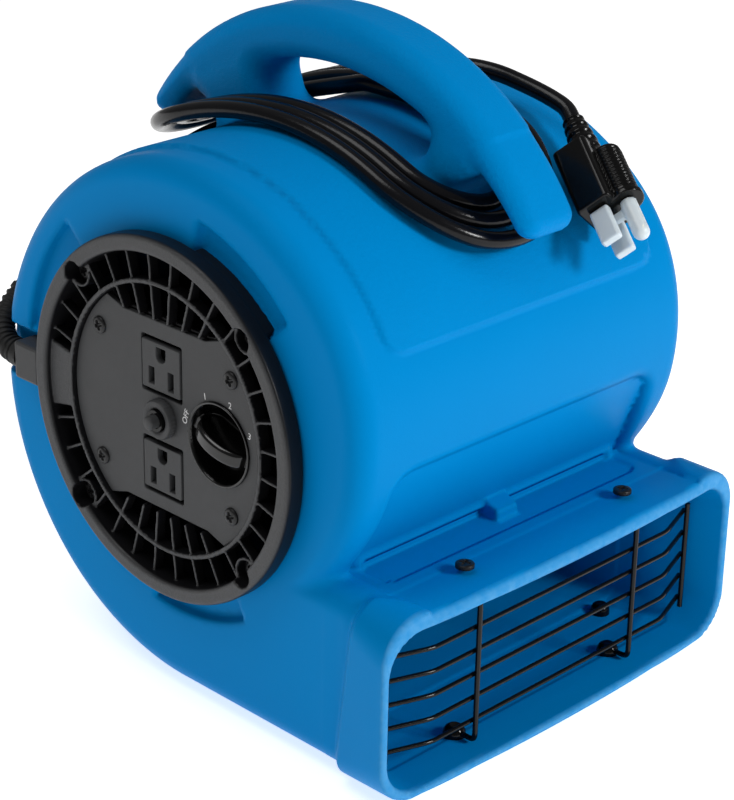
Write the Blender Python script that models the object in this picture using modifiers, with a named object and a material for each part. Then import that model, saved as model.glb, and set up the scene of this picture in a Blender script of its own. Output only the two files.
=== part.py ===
"""Air mover: a small carpet and floor dryer.

A blown plastic snail-shell housing with a carrying handle holds a double-inlet
fan wheel on a motor. The control side carries an inlet grille with a speed knob,
two power outlets and a circuit breaker. The mains cord is wound round the two
horns of the handle. X runs across the machine (controls on -X), the air leaves
towards -Y, and Z is up from the floor. Units are metres.
"""
import math

import bmesh
import bpy
import numpy as np
from mathutils import Matrix, Vector

MM = 0.001
GAP = 0.3 * MM

# Fan axis above the floor, and its place along the machine
FOOT_HEIGHT = 4.0 * MM
BASE_DROP = 139.0 * MM
AXIS_Y = 10.5 * MM
AXIS_Z = BASE_DROP + FOOT_HEIGHT

# Housing: scroll radius every 30 degrees, from 30 below the front, over the top, to the base
SCROLL_START = -30.0
SCROLL_STEP = 30.0
SCROLL_RADII = [r * MM for r in (108, 119.3, 126.8, 123.5, 120, 119, 122, 128, 133, 137, 139)]
SIDE_HALF = 111.0 * MM
SIDE_WALL = 7.0 * MM
WALL = 3.5 * MM
EDGE_ROUND = 11.0 * MM
BAND_HALF = 89.0 * MM
BAND_RISE = 0.8 * MM
BAND_FROM = 27.0
BAND_TO = 158.0
TONGUE_THICKNESS = 13.0 * MM
DUCT_TOP = -49.0 * MM
FLARE_START = -107.0 * MM
COLLAR_Y = -112.0 * MM
COLLAR_STEP = 4.5 * MM
COLLAR_DROP = 1.2 * MM
MOUTH_Y = -147.0 * MM
MOUTH_BOW = 5.0 * MM
MOUTH_HALF = 122.5 * MM
MOUTH_TOP = -46.5 * MM
MOUTH_LIP = 4.5 * MM
MOUTH_TOP_LIP = 9.0 * MM
MOUTH_CORNER = 22.0 * MM
SCOOP_HALF = 86.0 * MM
SCOOP_TOP = (-116.6 * MM, -1.0 * MM)
SCOOP_FOOT = (-96.5 * MM, -45.3 * MM)
POCKET_DEPTH = 4.5 * MM

# Handle: an arc about the fan axis on two posts, with a horn past each post
HANDLE_HALF = 18.0 * MM
HANDLE_EDGE = 7.5 * MM
HANDLE_TOP = 171.2 * MM
HANDLE_FALL = 6.2 * MM
GRIP_UNDER = 146.0 * MM
HORN_UNDER = 149.5 * MM
HORN_FRONT = 37.0
HORN_REAR = 140.8
POST_FRONT = (53.6, 63.0)
POST_REAR = (109.5, 127.3)
HANDLE_ROOT = 112.0 * MM

# Inlet grilles
INLET_RADIUS = 82.0 * MM
RING_RADIUS = 87.4 * MM
RING_INNER = 79.0 * MM
RING_FACE = 121.5 * MM
LUG_RADIUS = 8.0 * MM
LUG_CIRCLE = 79.5 * MM
HUB_RADIUS = 65.8 * MM
SPOKE_COUNT = 32
SPOKE_THICKNESS = 1.8 * MM

# Control panel, measured from the fan axis (y towards the rear, z up)
PANEL_FACE = 115.3 * MM
PANEL_THICKNESS = 2.5 * MM
PANEL_RADIUS = 64.0 * MM
PANEL_FLAT = 46.8 * MM
PANEL_FLAT_HALF = 28.0 * MM
PANEL_CORNER = (39.5 * MM, 50.4 * MM)
PANEL_SCREWS = [(y * 44.7 * MM, z * 33.0 * MM) for y in (-1, 1) for z in (-1, 1)]
SOCKET_WIDTH = 27.0 * MM
SOCKET_HEIGHT = 27.0 * MM
SOCKET_PLACES = {"socket_upper": (2.0 * MM, 24.5 * MM), "socket_lower": (2.0 * MM, -25.5 * MM)}
BREAKER = (1.5 * MM, 0.0)
KNOB = (-36.5 * MM, -0.5 * MM)
KNOB_RADIUS = 20.5 * MM
KNOB_NECK = 18.6 * MM
KNOB_DEPTH = 10.8 * MM
KNOB_OFF_ANGLE = 163.0
BUTTON_PROUD = 5.0 * MM

# Motor and fan wheel, by place along X
BOX_BACK = -66.0 * MM
BOX_RADIUS = 61.0 * MM
MOTOR_NEAR = -62.0 * MM
MOTOR_FAR = 8.0 * MM
MOTOR_RADIUS = 43.0 * MM
SHAFT_RADIUS = 4.0 * MM
BEARING_RADIUS = 11.0 * MM
BEARING_WIDTH = 7.0 * MM
WHEEL_RADIUS = 75.0 * MM
WHEEL_NEAR = -50.0 * MM
WHEEL_FAR = 70.0 * MM
WHEEL_DISC = 20.0 * MM
BLADE_COUNT = 16

# Outlet guard of welded wire
WIRE_RADIUS = 1.6 * MM
GUARD_Y = -139.0 * MM
GUARD_ROWS = [z * MM for z in (-74, -86, -98, -110, -122)]
GUARD_BEND = 82.0 * MM
GUARD_END = (104.0 * MM, -131.0 * MM)
GUARD_POST = 55.0 * MM
GUARD_SCREW_Y = -131.0 * MM
EYE_Z = -58.6 * MM
CLIP_Z = -BASE_DROP + MOUTH_LIP + WIRE_RADIUS + 0.9 * MM

# Feet, by place (x, y from the fan axis)
FEET = {
    "foot_front_near": (-84.0 * MM, -100.0 * MM),
    "foot_front_far": (84.0 * MM, -100.0 * MM),
    "foot_rear_near": (-74.0 * MM, 26.0 * MM),
    "foot_rear_far": (74.0 * MM, 26.0 * MM),
}
FOOT_RADIUS = 11.0 * MM

# Mains cord, wound round the handle; x from the middle, y and z from the fan axis
CORD_RADIUS = 4.1 * MM
LOOPS = 3
LOOP_POINTS = 24
LOOP_HALF = 24.0 * MM
LOOP_PITCH = 9.0 * MM
LOOP_TOP = 127.8 * MM
LOOP_REAR = (91.0 * MM, 103.0 * MM)
LOOP_REAR_STEP = (10.0 * MM, -3.0 * MM, -1.2 * MM)
LOOP_FRONT = -91.5 * MM
LOOP_FRONT_STEP = -6.9 * MM
LOOP_DROP = 28.0 * MM
LOOP_DROP_AT = 90.0 * MM
GLAND_REAR = 106.0 * MM
RELIEF_ROUTE = [
    (-112.5, 106.3, -1.5), (-112.5, 112.3, -1.5), (-112.0, 121.0, 0.3),
    (-107.8, 129.3, 5.5), (-100.5, 133.8, 12.5), (-91.5, 134.5, 20.5),
]
LEAD_ROUTE = [
    (-74.0, 128.8, 36.5), (-62.0, 122.0, 48.5), (-50.0, 114.5, 60.0), (-36.0, 107.0, 71.5),
    (-20.0, 100.0, 82.5), (-4.0, 95.5, 89.5), (9.5, 91.2, 92.6), (18.2, 84.6, 95.8),
    (22.8, 76.7, 100.8), (24.2, 67.0, 107.8), (24.5, 57.0, 114.4),
]
PLUG_FACE = (45.5, -118.5, 89.8)
PLUG_AXIS = (-0.415, -0.785, -0.459)
PLUG_GROUND_SIDE = (0.48, -0.618, 0.623)
PLUG_LENGTH = 38.0 * MM
PLUG_RELIEF = 20.0 * MM
TAIL_ROUTE = [
    (56.0, 3.0, 131.3), (62.0, -13.5, 134.6), (67.8, -29.0, 133.8), (72.4, -43.0, 130.2), (75.2, -56.5, 126.4),
]

for old in list(bpy.data.objects):
    bpy.data.objects.remove(old, do_unlink=True)

PARTS = bpy.data.collections.new("air_mover")
CUTTERS = bpy.data.collections.new("cutters")
bpy.context.scene.collection.children.link(PARTS)
bpy.context.scene.collection.children.link(CUTTERS)

# Side-view outlines are drawn in the local XY plane; this turns them to the YZ plane
SIDE_VIEW = Matrix(((0, 0, 1, 0), (1, 0, 0, 0), (0, 1, 0, 0), (0, 0, 0, 1)))


def material(name, colour, roughness, metallic=0.0):
    """A plain shader for one kind of surface."""
    shader = bpy.data.materials.new(name)
    shader.use_nodes = True
    principled = shader.node_tree.nodes["Principled BSDF"]
    principled.inputs["Base Color"].default_value = (*colour, 1.0)
    principled.inputs["Roughness"].default_value = roughness
    principled.inputs["Metallic"].default_value = metallic
    return shader


BLUE = material("housing_blue", (0.01, 0.2, 0.62), 0.45)
GREY = material("grille_grey", (0.1, 0.1, 0.105), 0.6)
BLACK = material("gloss_black", (0.01, 0.01, 0.01), 0.3)
RUBBER = material("black_rubber", (0.015, 0.015, 0.015), 0.7)
STEEL = material("steel", (0.6, 0.6, 0.6), 0.35, 1.0)
BRASS = material("brass", (0.7, 0.5, 0.2), 0.35, 1.0)
WHITE = material("clear_guard", (0.8, 0.86, 0.9), 0.3)


def at(x, y, z):
    """A point from its distance off the middle and its offset from the fan axis."""
    return Vector((x, AXIS_Y + y, AXIS_Z + z))


def polar(degrees, radius):
    """A side-view point from its angle (front is 0, top is 90) and radius about the fan axis."""
    turn = math.radians(degrees)
    return (-radius * math.cos(turn), radius * math.sin(turn))


def smooth_through(values, position):
    """Catmull-Rom curve through equally spaced values, at a fractional index."""
    last = len(values) - 1
    index = min(max(int(math.floor(position)), 0), last - 1)
    t = position - index
    a, b, c, d = (np.asarray(values[min(max(index + k, 0), last)], float) for k in (-1, 0, 1, 2))
    return b + 0.5 * t * (c - a + t * (2 * a - 5 * b + 4 * c - d + t * (3 * (b - c) + d - a)))


def scroll_radius(degrees):
    """Outer radius of the snail shell at an angle."""
    return float(smooth_through(SCROLL_RADII, (degrees - SCROLL_START) / SCROLL_STEP))


def put(obj, collection):
    """Link an object to one collection."""
    collection.objects.link(obj)
    return obj


def bake(obj):
    """Replace an object's data by its evaluated mesh, welded, with faces pointing out."""
    graph = bpy.context.evaluated_depsgraph_get()
    mesh = bpy.data.meshes.new_from_object(obj.evaluated_get(graph), depsgraph=graph)
    shape = bmesh.new()
    shape.from_mesh(mesh)
    bmesh.ops.remove_doubles(shape, verts=shape.verts, dist=0.00001)
    bmesh.ops.recalc_face_normals(shape, faces=shape.faces)
    shape.to_mesh(mesh)
    shape.free()
    solid = put(bpy.data.objects.new(obj.name + "_solid", mesh), PARTS)
    solid.matrix_world = obj.matrix_world.copy()
    bpy.data.objects.remove(obj, do_unlink=True)
    solid.data.transform(solid.matrix_world)
    solid.matrix_world = Matrix.Identity(4)
    return solid


def extruded(outlines, low, high, edge=0.0, steps=1):
    """A flat outline (with inner outlines as holes) made solid between two distances, edges rounded."""
    curve = bpy.data.curves.new("outline", "CURVE")
    curve.dimensions = "2D"
    curve.fill_mode = "BOTH"
    curve.extrude = (high - low) / 2 - edge
    curve.bevel_depth = edge
    curve.bevel_resolution = steps
    curve.offset = -edge
    for outline in outlines:
        spline = curve.splines.new("POLY")
        spline.points.add(len(outline) - 1)
        for point, (u, v) in zip(spline.points, outline):
            point.co = (u, v, 0.0, 1.0)
        spline.use_cyclic_u = True
    obj = put(bpy.data.objects.new("outline", curve), PARTS)
    obj.matrix_world = SIDE_VIEW @ Matrix.Translation((0, 0, (low + high) / 2))
    bpy.context.view_layer.update()
    return bake(obj)


def turned(profile, centre, steps=48, axis="X", closed=True):
    """A profile of (radius, distance) turned about an axis through a point."""
    mesh = bpy.data.meshes.new("profile")
    rows = [(radius, 0.0, distance) for radius, distance in profile]
    edges = [(i, i + 1) for i in range(len(rows) - 1)]
    if closed:
        edges.append((len(rows) - 1, 0))
    mesh.from_pydata(rows, edges, [])
    obj = put(bpy.data.objects.new("turned", mesh), PARTS)
    screw = obj.modifiers.new("Screw", "SCREW")
    screw.steps = steps
    screw.render_steps = steps
    screw.use_merge_vertices = True
    screw.merge_threshold = 0.00001
    obj.matrix_world = Matrix.Translation(centre) @ (SIDE_VIEW if axis == "X" else Matrix.Identity(4))
    bpy.context.view_layer.update()
    return bake(obj)


def cylinder(radius, low, high, y, z, steps=24):
    """A round bar along X between two distances, at a place off the fan axis."""
    return turned([(0, high), (radius, high), (radius, low), (0, low)], at(0, y, z), steps, closed=False)


def upright(radius, low, high, x, y, steps=16):
    """A round bar along Z between two heights above the floor."""
    centre = Vector((x, AXIS_Y + y, 0))
    return turned([(0, high), (radius, high), (radius, low), (0, low)], centre, steps, "Z", False)


def block(low, high):
    """A box between two corners."""
    bpy.ops.mesh.primitive_cube_add(size=1.0)
    obj = bpy.context.object
    for collection in list(obj.users_collection):
        collection.objects.unlink(obj)
    put(obj, PARTS)
    low, high = Vector(low), Vector(high)
    size = high - low
    obj.data.transform(Matrix.Translation((low + high) / 2) @ Matrix.Diagonal((*size, 1.0)))
    return obj


def tube(points, radius, resolution=2, radii=None):
    """A round tube with filled ends along a row of points."""
    curve = bpy.data.curves.new("tube", "CURVE")
    curve.dimensions = "3D"
    curve.bevel_depth = radius
    curve.bevel_resolution = resolution
    curve.use_fill_caps = True
    spline = curve.splines.new("POLY")
    spline.points.add(len(points) - 1)
    for index, (point, place) in enumerate(zip(spline.points, points)):
        point.co = (*place, 1.0)
        point.radius = radii[index] if radii else 1.0
    return bake(put(bpy.data.objects.new("tube", curve), PARTS))


def rounded(obj, width, segments=2, angle=50.0):
    """Round the sharp edges of a solid."""
    bevel = obj.modifiers.new("Bevel", "BEVEL")
    bevel.width = width
    bevel.segments = segments
    bevel.limit_method = "ANGLE"
    bevel.angle_limit = math.radians(angle)
    bpy.context.view_layer.update()
    return bake(obj)


def combine(target, tools, operation):
    """Join tools to a solid, or cut them out of it."""
    for tool in tools:
        for collection in list(tool.users_collection):
            collection.objects.unlink(tool)
        put(tool, CUTTERS)
        tool.hide_render = True
        tool.display_type = "WIRE"
        boolean = target.modifiers.new(operation.title(), "BOOLEAN")
        boolean.operation = operation
        boolean.solver = "EXACT"
        boolean.object = tool
    return target


def join(target, *tools):
    """Union of solids."""
    return combine(target, tools, "UNION")


def cut(target, *tools):
    """A solid with others taken out of it."""
    return combine(target, tools, "DIFFERENCE")


def group(solids):
    """Separate solids held in one object."""
    shape = bmesh.new()
    for solid in solids:
        shape.from_mesh(solid.data)
        bpy.data.objects.remove(solid, do_unlink=True)
    mesh = bpy.data.meshes.new("group")
    shape.to_mesh(mesh)
    shape.free()
    return put(bpy.data.objects.new("group", mesh), PARTS)


def numbered(name, solids, shader):
    """Name a row of like pieces."""
    return [node("%s_%d" % (name, index + 1), solid, shader) for index, solid in enumerate(solids)]


def node(name, obj, shader, origin=None, smooth=35.0):
    """Name a finished sub-part, give it its material and put its origin on its axis."""
    obj.name = name
    obj.data.name = name
    obj.data.materials.clear()
    obj.data.materials.append(shader)
    obj.data.shade_smooth()
    obj.data.set_sharp_from_angle(angle=math.radians(smooth))
    if origin is not None:
        obj.data.transform(Matrix.Translation(-origin))
        obj.location = origin
    return obj


def arc(start, end, radius, count):
    """Side-view points along an arc about the fan axis."""
    return [polar(start + (end - start) * i / count, radius) for i in range(count + 1)]


def circle(radius, count, y=0.0, z=0.0):
    """A closed ring of side-view points."""
    return [(y + radius * math.cos(2 * math.pi * i / count), z + radius * math.sin(2 * math.pi * i / count))
            for i in range(count)]


def about_axis(outline):
    """Shift a side-view outline from the fan axis to its place in the machine."""
    return [(AXIS_Y + y, AXIS_Z + z) for y, z in outline]


def snail_outline(inset):
    """Side outline of the scroll and the top of its duct, drawn in by a wall."""
    points = []
    count = 30 if inset else 44
    for step in range(count + 1):
        degrees = 270.0 - 292.0 * step / count
        radius = scroll_radius(degrees) - inset
        if inset:
            radius -= TONGUE_THICKNESS * max(0.0, 1.0 - max(degrees, 0.0) / 45.0) ** 2
        points.append(polar(degrees, radius))
    ceiling = DUCT_TOP - inset
    corner = points[-1]
    points += [(corner[0] - 0.4 * MM, ceiling + 4.2 * MM), (corner[0] - 2.6 * MM, ceiling + 1.2 * MM)]
    points += [(corner[0] - 6.5 * MM, ceiling)]
    front = MOUTH_Y + 24.0 * MM
    points += [(front, ceiling), (front, -BASE_DROP + inset), (0.0, -BASE_DROP + inset)]
    return points[1:]


def rounded_section(half, low, high, corner, steps=5):
    """Points of a rounded rectangle across the duct, as (x, z)."""
    points = []
    flat = half - corner
    centres = [(flat, high - corner), (-flat, high - corner), (-flat, low + corner), (flat, low + corner)]
    for quarter, (x, z) in enumerate(centres):
        for i in range(steps + 1):
            turn = math.radians(90.0 * (quarter + i / steps))
            points.append((x + corner * math.cos(turn), z + corner * math.sin(turn)))
        if quarter in (0, 2):
            side = 1.0 - quarter
            edge = high if quarter == 0 else low
            points += [(side * flat * part, edge) for part in (0.67, 0.33, 0.0, -0.33, -0.67)]
    return points


def duct_loft(sections, bow):
    """A duct through rounded sections (y, half width, low, high, corner); the last one bows out."""
    shape = bmesh.new()
    rings = []
    for index, (y, half, low, high, corner) in enumerate(sections):
        lean = bow if index == len(sections) - 1 else 0.0
        ring = [shape.verts.new(at(x, y - lean * (1 - (x / half) ** 2), z))
                for x, z in rounded_section(half, low, high, corner)]
        rings.append(ring)
    for first, second in zip(rings, rings[1:]):
        for i in range(len(first)):
            j = (i + 1) % len(first)
            shape.faces.new((first[i], first[j], second[j], second[i]))
    for ring in (rings[0], rings[-1]):
        for i in range(len(ring) // 2 - 1):
            shape.faces.new((ring[i], ring[i + 1], ring[-i - 2], ring[-i - 1]))
    bmesh.ops.recalc_face_normals(shape, faces=shape.faces)
    mesh = bpy.data.meshes.new("duct")
    shape.to_mesh(mesh)
    shape.free()
    return put(bpy.data.objects.new("duct", mesh), PARTS)


def handle_outline():
    """Outer outline of the handle: front post, front horn, grip, rear horn, rear post."""
    front, rear = POST_FRONT[0], POST_REAR[1]
    points = [polar(front, HANDLE_ROOT), polar(front, 140 * MM), polar(front - 2.2, 147 * MM)]
    points += [polar(front - 5.0, HORN_UNDER), polar(HORN_FRONT + 3.0, HORN_UNDER + 0.5 * MM)]
    points += [polar(HORN_FRONT + 0.7, 155 * MM), polar(HORN_FRONT, 160 * MM)]
    points += [polar(HORN_FRONT + 0.9, 163.5 * MM), polar(HORN_FRONT + 3.2, 165.5 * MM)]
    for step in range(13):
        degrees = HORN_FRONT + 8.0 + (HORN_REAR - HORN_FRONT - 16.0) * step / 12
        points.append(polar(degrees, HANDLE_TOP - HANDLE_FALL * ((degrees - 90.0) / 45.0) ** 2))
    points += [polar(HORN_REAR - 3.2, 164.5 * MM), polar(HORN_REAR - 0.9, 162.5 * MM)]
    points += [polar(HORN_REAR, 160 * MM), polar(HORN_REAR - 0.7, 155 * MM)]
    points += [polar(HORN_REAR - 3.0, HORN_UNDER + 0.5 * MM), polar(rear + 5.0, HORN_UNDER)]
    points += [polar(rear + 2.2, 147 * MM), polar(rear, 140 * MM), polar(rear, HANDLE_ROOT)]
    return points


def grip_opening():
    """Outline of the finger opening between the posts."""
    front, rear = POST_FRONT[1], POST_REAR[0]
    under = arc(front + 4.5, rear - 4.5, GRIP_UNDER, 8)
    points = [polar(front, 117 * MM), polar(front, 136 * MM), polar(front + 1.2, 142 * MM)]
    points += under + [polar(rear - 1.2, 142 * MM), polar(rear, 136 * MM), polar(rear, 117 * MM)]
    return points


def inlet_outline():
    """Round inlet with four lugs left standing for the grille screws."""
    points = []
    bite = math.degrees(math.asin(0.92 * LUG_RADIUS / INLET_RADIUS))
    for quarter in range(4):
        lug = 45.0 + 90.0 * quarter
        points += [polar(lug - 90 + bite + (90 - 2 * bite) * i / 8, INLET_RADIUS) for i in range(9)]
        y, z = polar(lug, LUG_CIRCLE)
        inward = math.atan2(-z, -y)
        for i in range(1, 6):
            turn = inward - math.pi / 2 + math.pi * i / 6
            points.append((y + LUG_RADIUS * math.cos(turn), z + LUG_RADIUS * math.sin(turn)))
    return points


def pocket(start, end, outer):
    """Shallow hollow in the side wall beside the inlet ring."""
    inner = 85.0 * MM
    return arc(start, end, outer, 6) + arc(end, start, inner, 6)


POCKETS = ((42.0, 79.0, 99.0 * MM), (135.0, 172.0, 104.0 * MM), (262.0, 298.0, 98.0 * MM))


def lug_places():
    """Places of the four grille screws about the fan axis."""
    return [polar(45.0 + 90.0 * quarter, LUG_CIRCLE) for quarter in range(4)]


def build_housing():
    """One blown shell: scroll, flared duct, handle, cut by its cavity, inlets and hollows."""
    shell = extruded([about_axis(snail_outline(0.0))], -SIDE_HALF, SIDE_HALF, EDGE_ROUND, 1)
    band = arc(BAND_FROM, BAND_TO, 100 * MM, 10)
    band += [polar(BAND_TO - (BAND_TO - BAND_FROM) * i / 20,
                   scroll_radius(BAND_TO - (BAND_TO - BAND_FROM) * i / 20) + BAND_RISE) for i in range(21)]
    nozzle = duct_loft([
        (FLARE_START + 10 * MM, SIDE_HALF - 1.5 * MM, -BASE_DROP + 0.5 * MM, DUCT_TOP - 0.5 * MM, 11 * MM),
        (FLARE_START, SIDE_HALF - 0.5 * MM, -BASE_DROP + 0.3 * MM, DUCT_TOP + 0.3 * MM, 12 * MM),
        (COLLAR_Y, SIDE_HALF + COLLAR_STEP, -BASE_DROP - COLLAR_DROP, DUCT_TOP + 0.5 * MM, 14 * MM),
        (COLLAR_Y - 5 * MM, SIDE_HALF + COLLAR_STEP + 1.3 * MM, -BASE_DROP - COLLAR_DROP, DUCT_TOP + 0.8 * MM,
         15 * MM),
        (COLLAR_Y - 9 * MM, SIDE_HALF + COLLAR_STEP + 2.2 * MM, -BASE_DROP - COLLAR_DROP, MOUTH_TOP + 0.8 * MM,
         16 * MM),
        (MOUTH_Y, MOUTH_HALF, -BASE_DROP + 0.3 * MM, MOUTH_TOP, MOUTH_CORNER),
    ], MOUTH_BOW)
    handle = extruded([about_axis(handle_outline()), about_axis(grip_opening())], -HANDLE_HALF, HANDLE_HALF,
                      HANDLE_EDGE, 1)
    bosses = [upright(14 * MM, FOOT_HEIGHT, FOOT_HEIGHT + 9 * MM, x, y, 20)
              for x, y in FEET.values() if y > 0]
    join(shell, extruded([about_axis(band)], -BAND_HALF, BAND_HALF), nozzle, handle)
    join(shell, *bosses)
    inner_half = SIDE_HALF - SIDE_WALL
    cavity = extruded([about_axis(snail_outline(WALL))], -inner_half, inner_half, 7 * MM, 0)
    throat = duct_loft([
        (FLARE_START + 14 * MM, inner_half - 1 * MM, WALL - BASE_DROP + 0.4 * MM, DUCT_TOP - 4.3 * MM, 7 * MM),
        (FLARE_START, inner_half + 0.5 * MM, WALL - BASE_DROP + 0.2 * MM, DUCT_TOP - 4.1 * MM, 8 * MM),
        (MOUTH_Y, MOUTH_HALF - MOUTH_LIP, MOUTH_LIP - BASE_DROP, MOUTH_TOP - MOUTH_TOP_LIP, 12 * MM),
        (MOUTH_Y - 20 * MM, MOUTH_HALF - MOUTH_LIP + 3 * MM, MOUTH_LIP - BASE_DROP, MOUTH_TOP - MOUTH_TOP_LIP,
         12 * MM),
    ], 0.0)
    slant = [(-131 * MM, SCOOP_TOP[1]), SCOOP_TOP, SCOOP_FOOT, (-131 * MM, SCOOP_FOOT[1])]
    scoop = extruded([about_axis(slant)], -SCOOP_HALF, SCOOP_HALF)
    cut(shell, cavity, throat, scoop)
    inlet = about_axis(inlet_outline())
    cut(shell, extruded([inlet], -130 * MM, -90 * MM), extruded([inlet], 90 * MM, 130 * MM))
    notch = block(at(-130 * MM, 80 * MM, -14 * MM), at(-SIDE_HALF + 6 * MM, 150 * MM, 11 * MM))
    bend = block(at(-130 * MM, 121 * MM, -14 * MM), at(-102.2 * MM, 150 * MM, 15 * MM))
    seats = [upright(FOOT_RADIUS + 1 * MM, -5 * MM, FOOT_HEIGHT + 0.15 * MM, x, y, 14)
             for x, y in FEET.values() if y < 0]
    cut(shell, notch, bend, *seats)
    for start, end, outer in POCKETS:
        hollow = about_axis(pocket(start, end, outer))
        floor = SIDE_HALF - POCKET_DEPTH
        cut(shell, extruded([hollow], -130 * MM, -floor), extruded([hollow], floor, 130 * MM))
    holes = [cylinder(2.3 * MM, -130 * MM, -80 * MM, y, z, 8) for y, z in lug_places()]
    holes += [cylinder(2.3 * MM, 80 * MM, 130 * MM, y, z, 8) for y, z in lug_places()]
    holes += [upright(2.4 * MM, -5 * MM, 25 * MM, x, y, 8) for x, y in FEET.values()]
    roof = AXIS_Z + MOUTH_TOP
    for side in (-1, 1):
        holes.append(upright(1.9 * MM, roof - 20 * MM, roof + 5 * MM, side * GUARD_POST, GUARD_SCREW_Y, 8))
        holes.append(upright(1.9 * MM, -5 * MM, 20 * MM, side * GUARD_POST, GUARD_SCREW_Y + 6.2 * MM, 8))
    cut(shell, *holes)
    return node("housing", shell, BLUE)


def flange(side, steps):
    """Rim of an inlet grille, standing on the side wall; side is -1 (controls) or 1."""
    back, face = SIDE_HALF + GAP, RING_FACE
    profile = [(RING_INNER, face), (RING_RADIUS - 2 * MM, face), (RING_RADIUS, face - 2 * MM),
               (RING_RADIUS, back), (RING_INNER, back)]
    return turned([(r, side * x) for r, x in profile], at(0, 0, 0), steps)


def spokes(side, spans, front, back):
    """Thin radial ribs, each an (angle, inner radius, outer radius)."""
    ribs = []
    for degrees, inner, outer in spans:
        rib = block((min(side * front, side * back), -SPOKE_THICKNESS / 2, inner),
                    (max(side * front, side * back), SPOKE_THICKNESS / 2, outer))
        rib.data.transform(Matrix.Rotation(math.radians(degrees - 90.0), 4, "X"))
        rib.data.transform(Matrix.Translation(at(0, 0, 0)))
        ribs.append(rib)
    return group(ribs)


def grille_bosses(side):
    """Screw bosses of a grille, with their counterbores and holes."""
    back, face = SIDE_HALF + GAP, RING_FACE
    low, high = sorted((side * (back + 0.25 * MM), side * (face - 1 * MM)))
    bosses = [cylinder(LUG_RADIUS - 0.5 * MM, low, high, y, z, 16) for y, z in lug_places()]
    wells = [cylinder(5.2 * MM, *sorted((side * (back + 4 * MM), side * 140 * MM)), y, z, 12)
             for y, z in lug_places()]
    wells += [cylinder(2.3 * MM, *sorted((side * (back - 9 * MM), side * 140 * MM)), y, z, 8)
              for y, z in lug_places()]
    return bosses, wells


def clear_of_screws(degrees, room):
    """True where a spoke doesn't run into a screw boss."""
    return all(abs((degrees - lug + 180) % 360 - 180) > room for lug in (45, 135, 225, 315))


def panel_outline(grow):
    """Round plate with a flat top and bottom and sloped shoulders."""
    radius = PANEL_RADIUS + grow
    y, z = PANEL_CORNER[0] + grow * 0.6, PANEL_CORNER[1] + grow * 0.8
    shoulder = math.degrees(math.atan2(z, y))
    points = []
    for start, end, sign in ((-shoulder, shoulder, 1), (180 - shoulder, 180 + shoulder, -1)):
        points += [(radius * math.cos(math.radians(start + (end - start) * i / 14)),
                    radius * math.sin(math.radians(start + (end - start) * i / 14))) for i in range(15)]
        points += [(sign * PANEL_FLAT_HALF, sign * (PANEL_FLAT + grow)),
                   (-sign * PANEL_FLAT_HALF, sign * (PANEL_FLAT + grow))]
    return points


def build_control_grille():
    """Grille on the control side: rim, spokes, hub frame round the panel and a cord block."""
    grille = flange(-1, 52)
    front, back = RING_FACE - 4 * MM, SIDE_HALF + GAP
    seat = PANEL_FACE - PANEL_THICKNESS - GAP
    hub = turned([(HUB_RADIUS - 1.6 * MM, -front), (HUB_RADIUS, -front), (HUB_RADIUS, -back),
                  (HUB_RADIUS - 1.6 * MM, -back)], at(0, 0, 0), 48)
    frame = extruded([about_axis(panel_outline(0.9 * MM)), about_axis(panel_outline(-3 * MM))], -seat, -seat + 3 * MM)
    step = 360.0 / SPOKE_COUNT
    angles = [step * (i + 0.5) for i in range(SPOKE_COUNT)]
    spans = [(a, HUB_RADIUS - 0.8 * MM, RING_INNER + 1 * MM) for a in angles
             if clear_of_screws(a, 5.5) and abs(a - 180) > 12]
    ribs = spokes(-1, spans, front - 0.5 * MM, back + 0.4 * MM)
    spans = [(90.0 + sign * 90.0 + off, (PANEL_FLAT + 0.5 * MM) / math.cos(math.radians(off)), HUB_RADIUS - 1.2 * MM)
             for sign in (-1, 1) for off in (-20, -10, 0, 10, 20)]
    short = spokes(-1, [(a + 90.0, low, high) for a, low, high in spans], front - 0.9 * MM, back + 0.7 * MM)
    cord_block = arc(168.0, 192.0, RING_INNER + 1 * MM, 4) + arc(192.0, 168.0, HUB_RADIUS - 0.6 * MM, 4)
    block_solid = extruded([about_axis(cord_block)], -(front - 1.3 * MM), -(back + 0.3 * MM))
    bosses, wells = grille_bosses(-1)
    join(grille, hub, frame, ribs, short, block_solid, *bosses)
    cut(grille, *wells)
    return node("control_grille", grille, GREY)


def build_far_grille():
    """Plain grille over the inlet on the other side."""
    grille = flange(1, 40)
    front, back = RING_FACE - 4 * MM, SIDE_HALF + GAP
    ring = turned([(48 * MM, front), (50 * MM, front), (50 * MM, back), (48 * MM, back)], at(0, 0, 0), 32)
    cap = cylinder(18 * MM, back, front + 1 * MM, 0, 0, 20)
    angles = [30.0 * i for i in range(12)]
    outer = spokes(1, [(a, 49.2 * MM, RING_INNER + 1 * MM) for a in angles], front - 0.5 * MM, back + 0.4 * MM)
    inner = spokes(1, [(a, 16 * MM, 48.8 * MM) for a in angles], front - 0.7 * MM, back + 0.6 * MM)
    bosses, wells = grille_bosses(1)
    join(grille, ring, cap, inner, outer, *bosses)
    cut(grille, *wells)
    return node("far_grille", grille, GREY)


def screw(head, shank, low, seat, high, y, z):
    """A screw along X: shank from low to seat, round head from seat to high."""
    profile = [(0, high), (head * 0.75, high), (head, seat), (shank, seat), (shank, low), (0, low)]
    return turned(profile, at(0, y, z), 8, closed=False)


def build_grille_screws(side):
    """Four screws holding a grille to the housing lugs."""
    seat = SIDE_HALF + GAP + 4.3 * MM
    screws = [screw(4.4 * MM, 2.0 * MM, side * (SIDE_HALF - 6 * MM), side * seat, side * (seat + 2.6 * MM), y, z)
              for y, z in lug_places()]
    return numbered("control_grille_screw" if side < 0 else "far_grille_screw", screws, STEEL)


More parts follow.
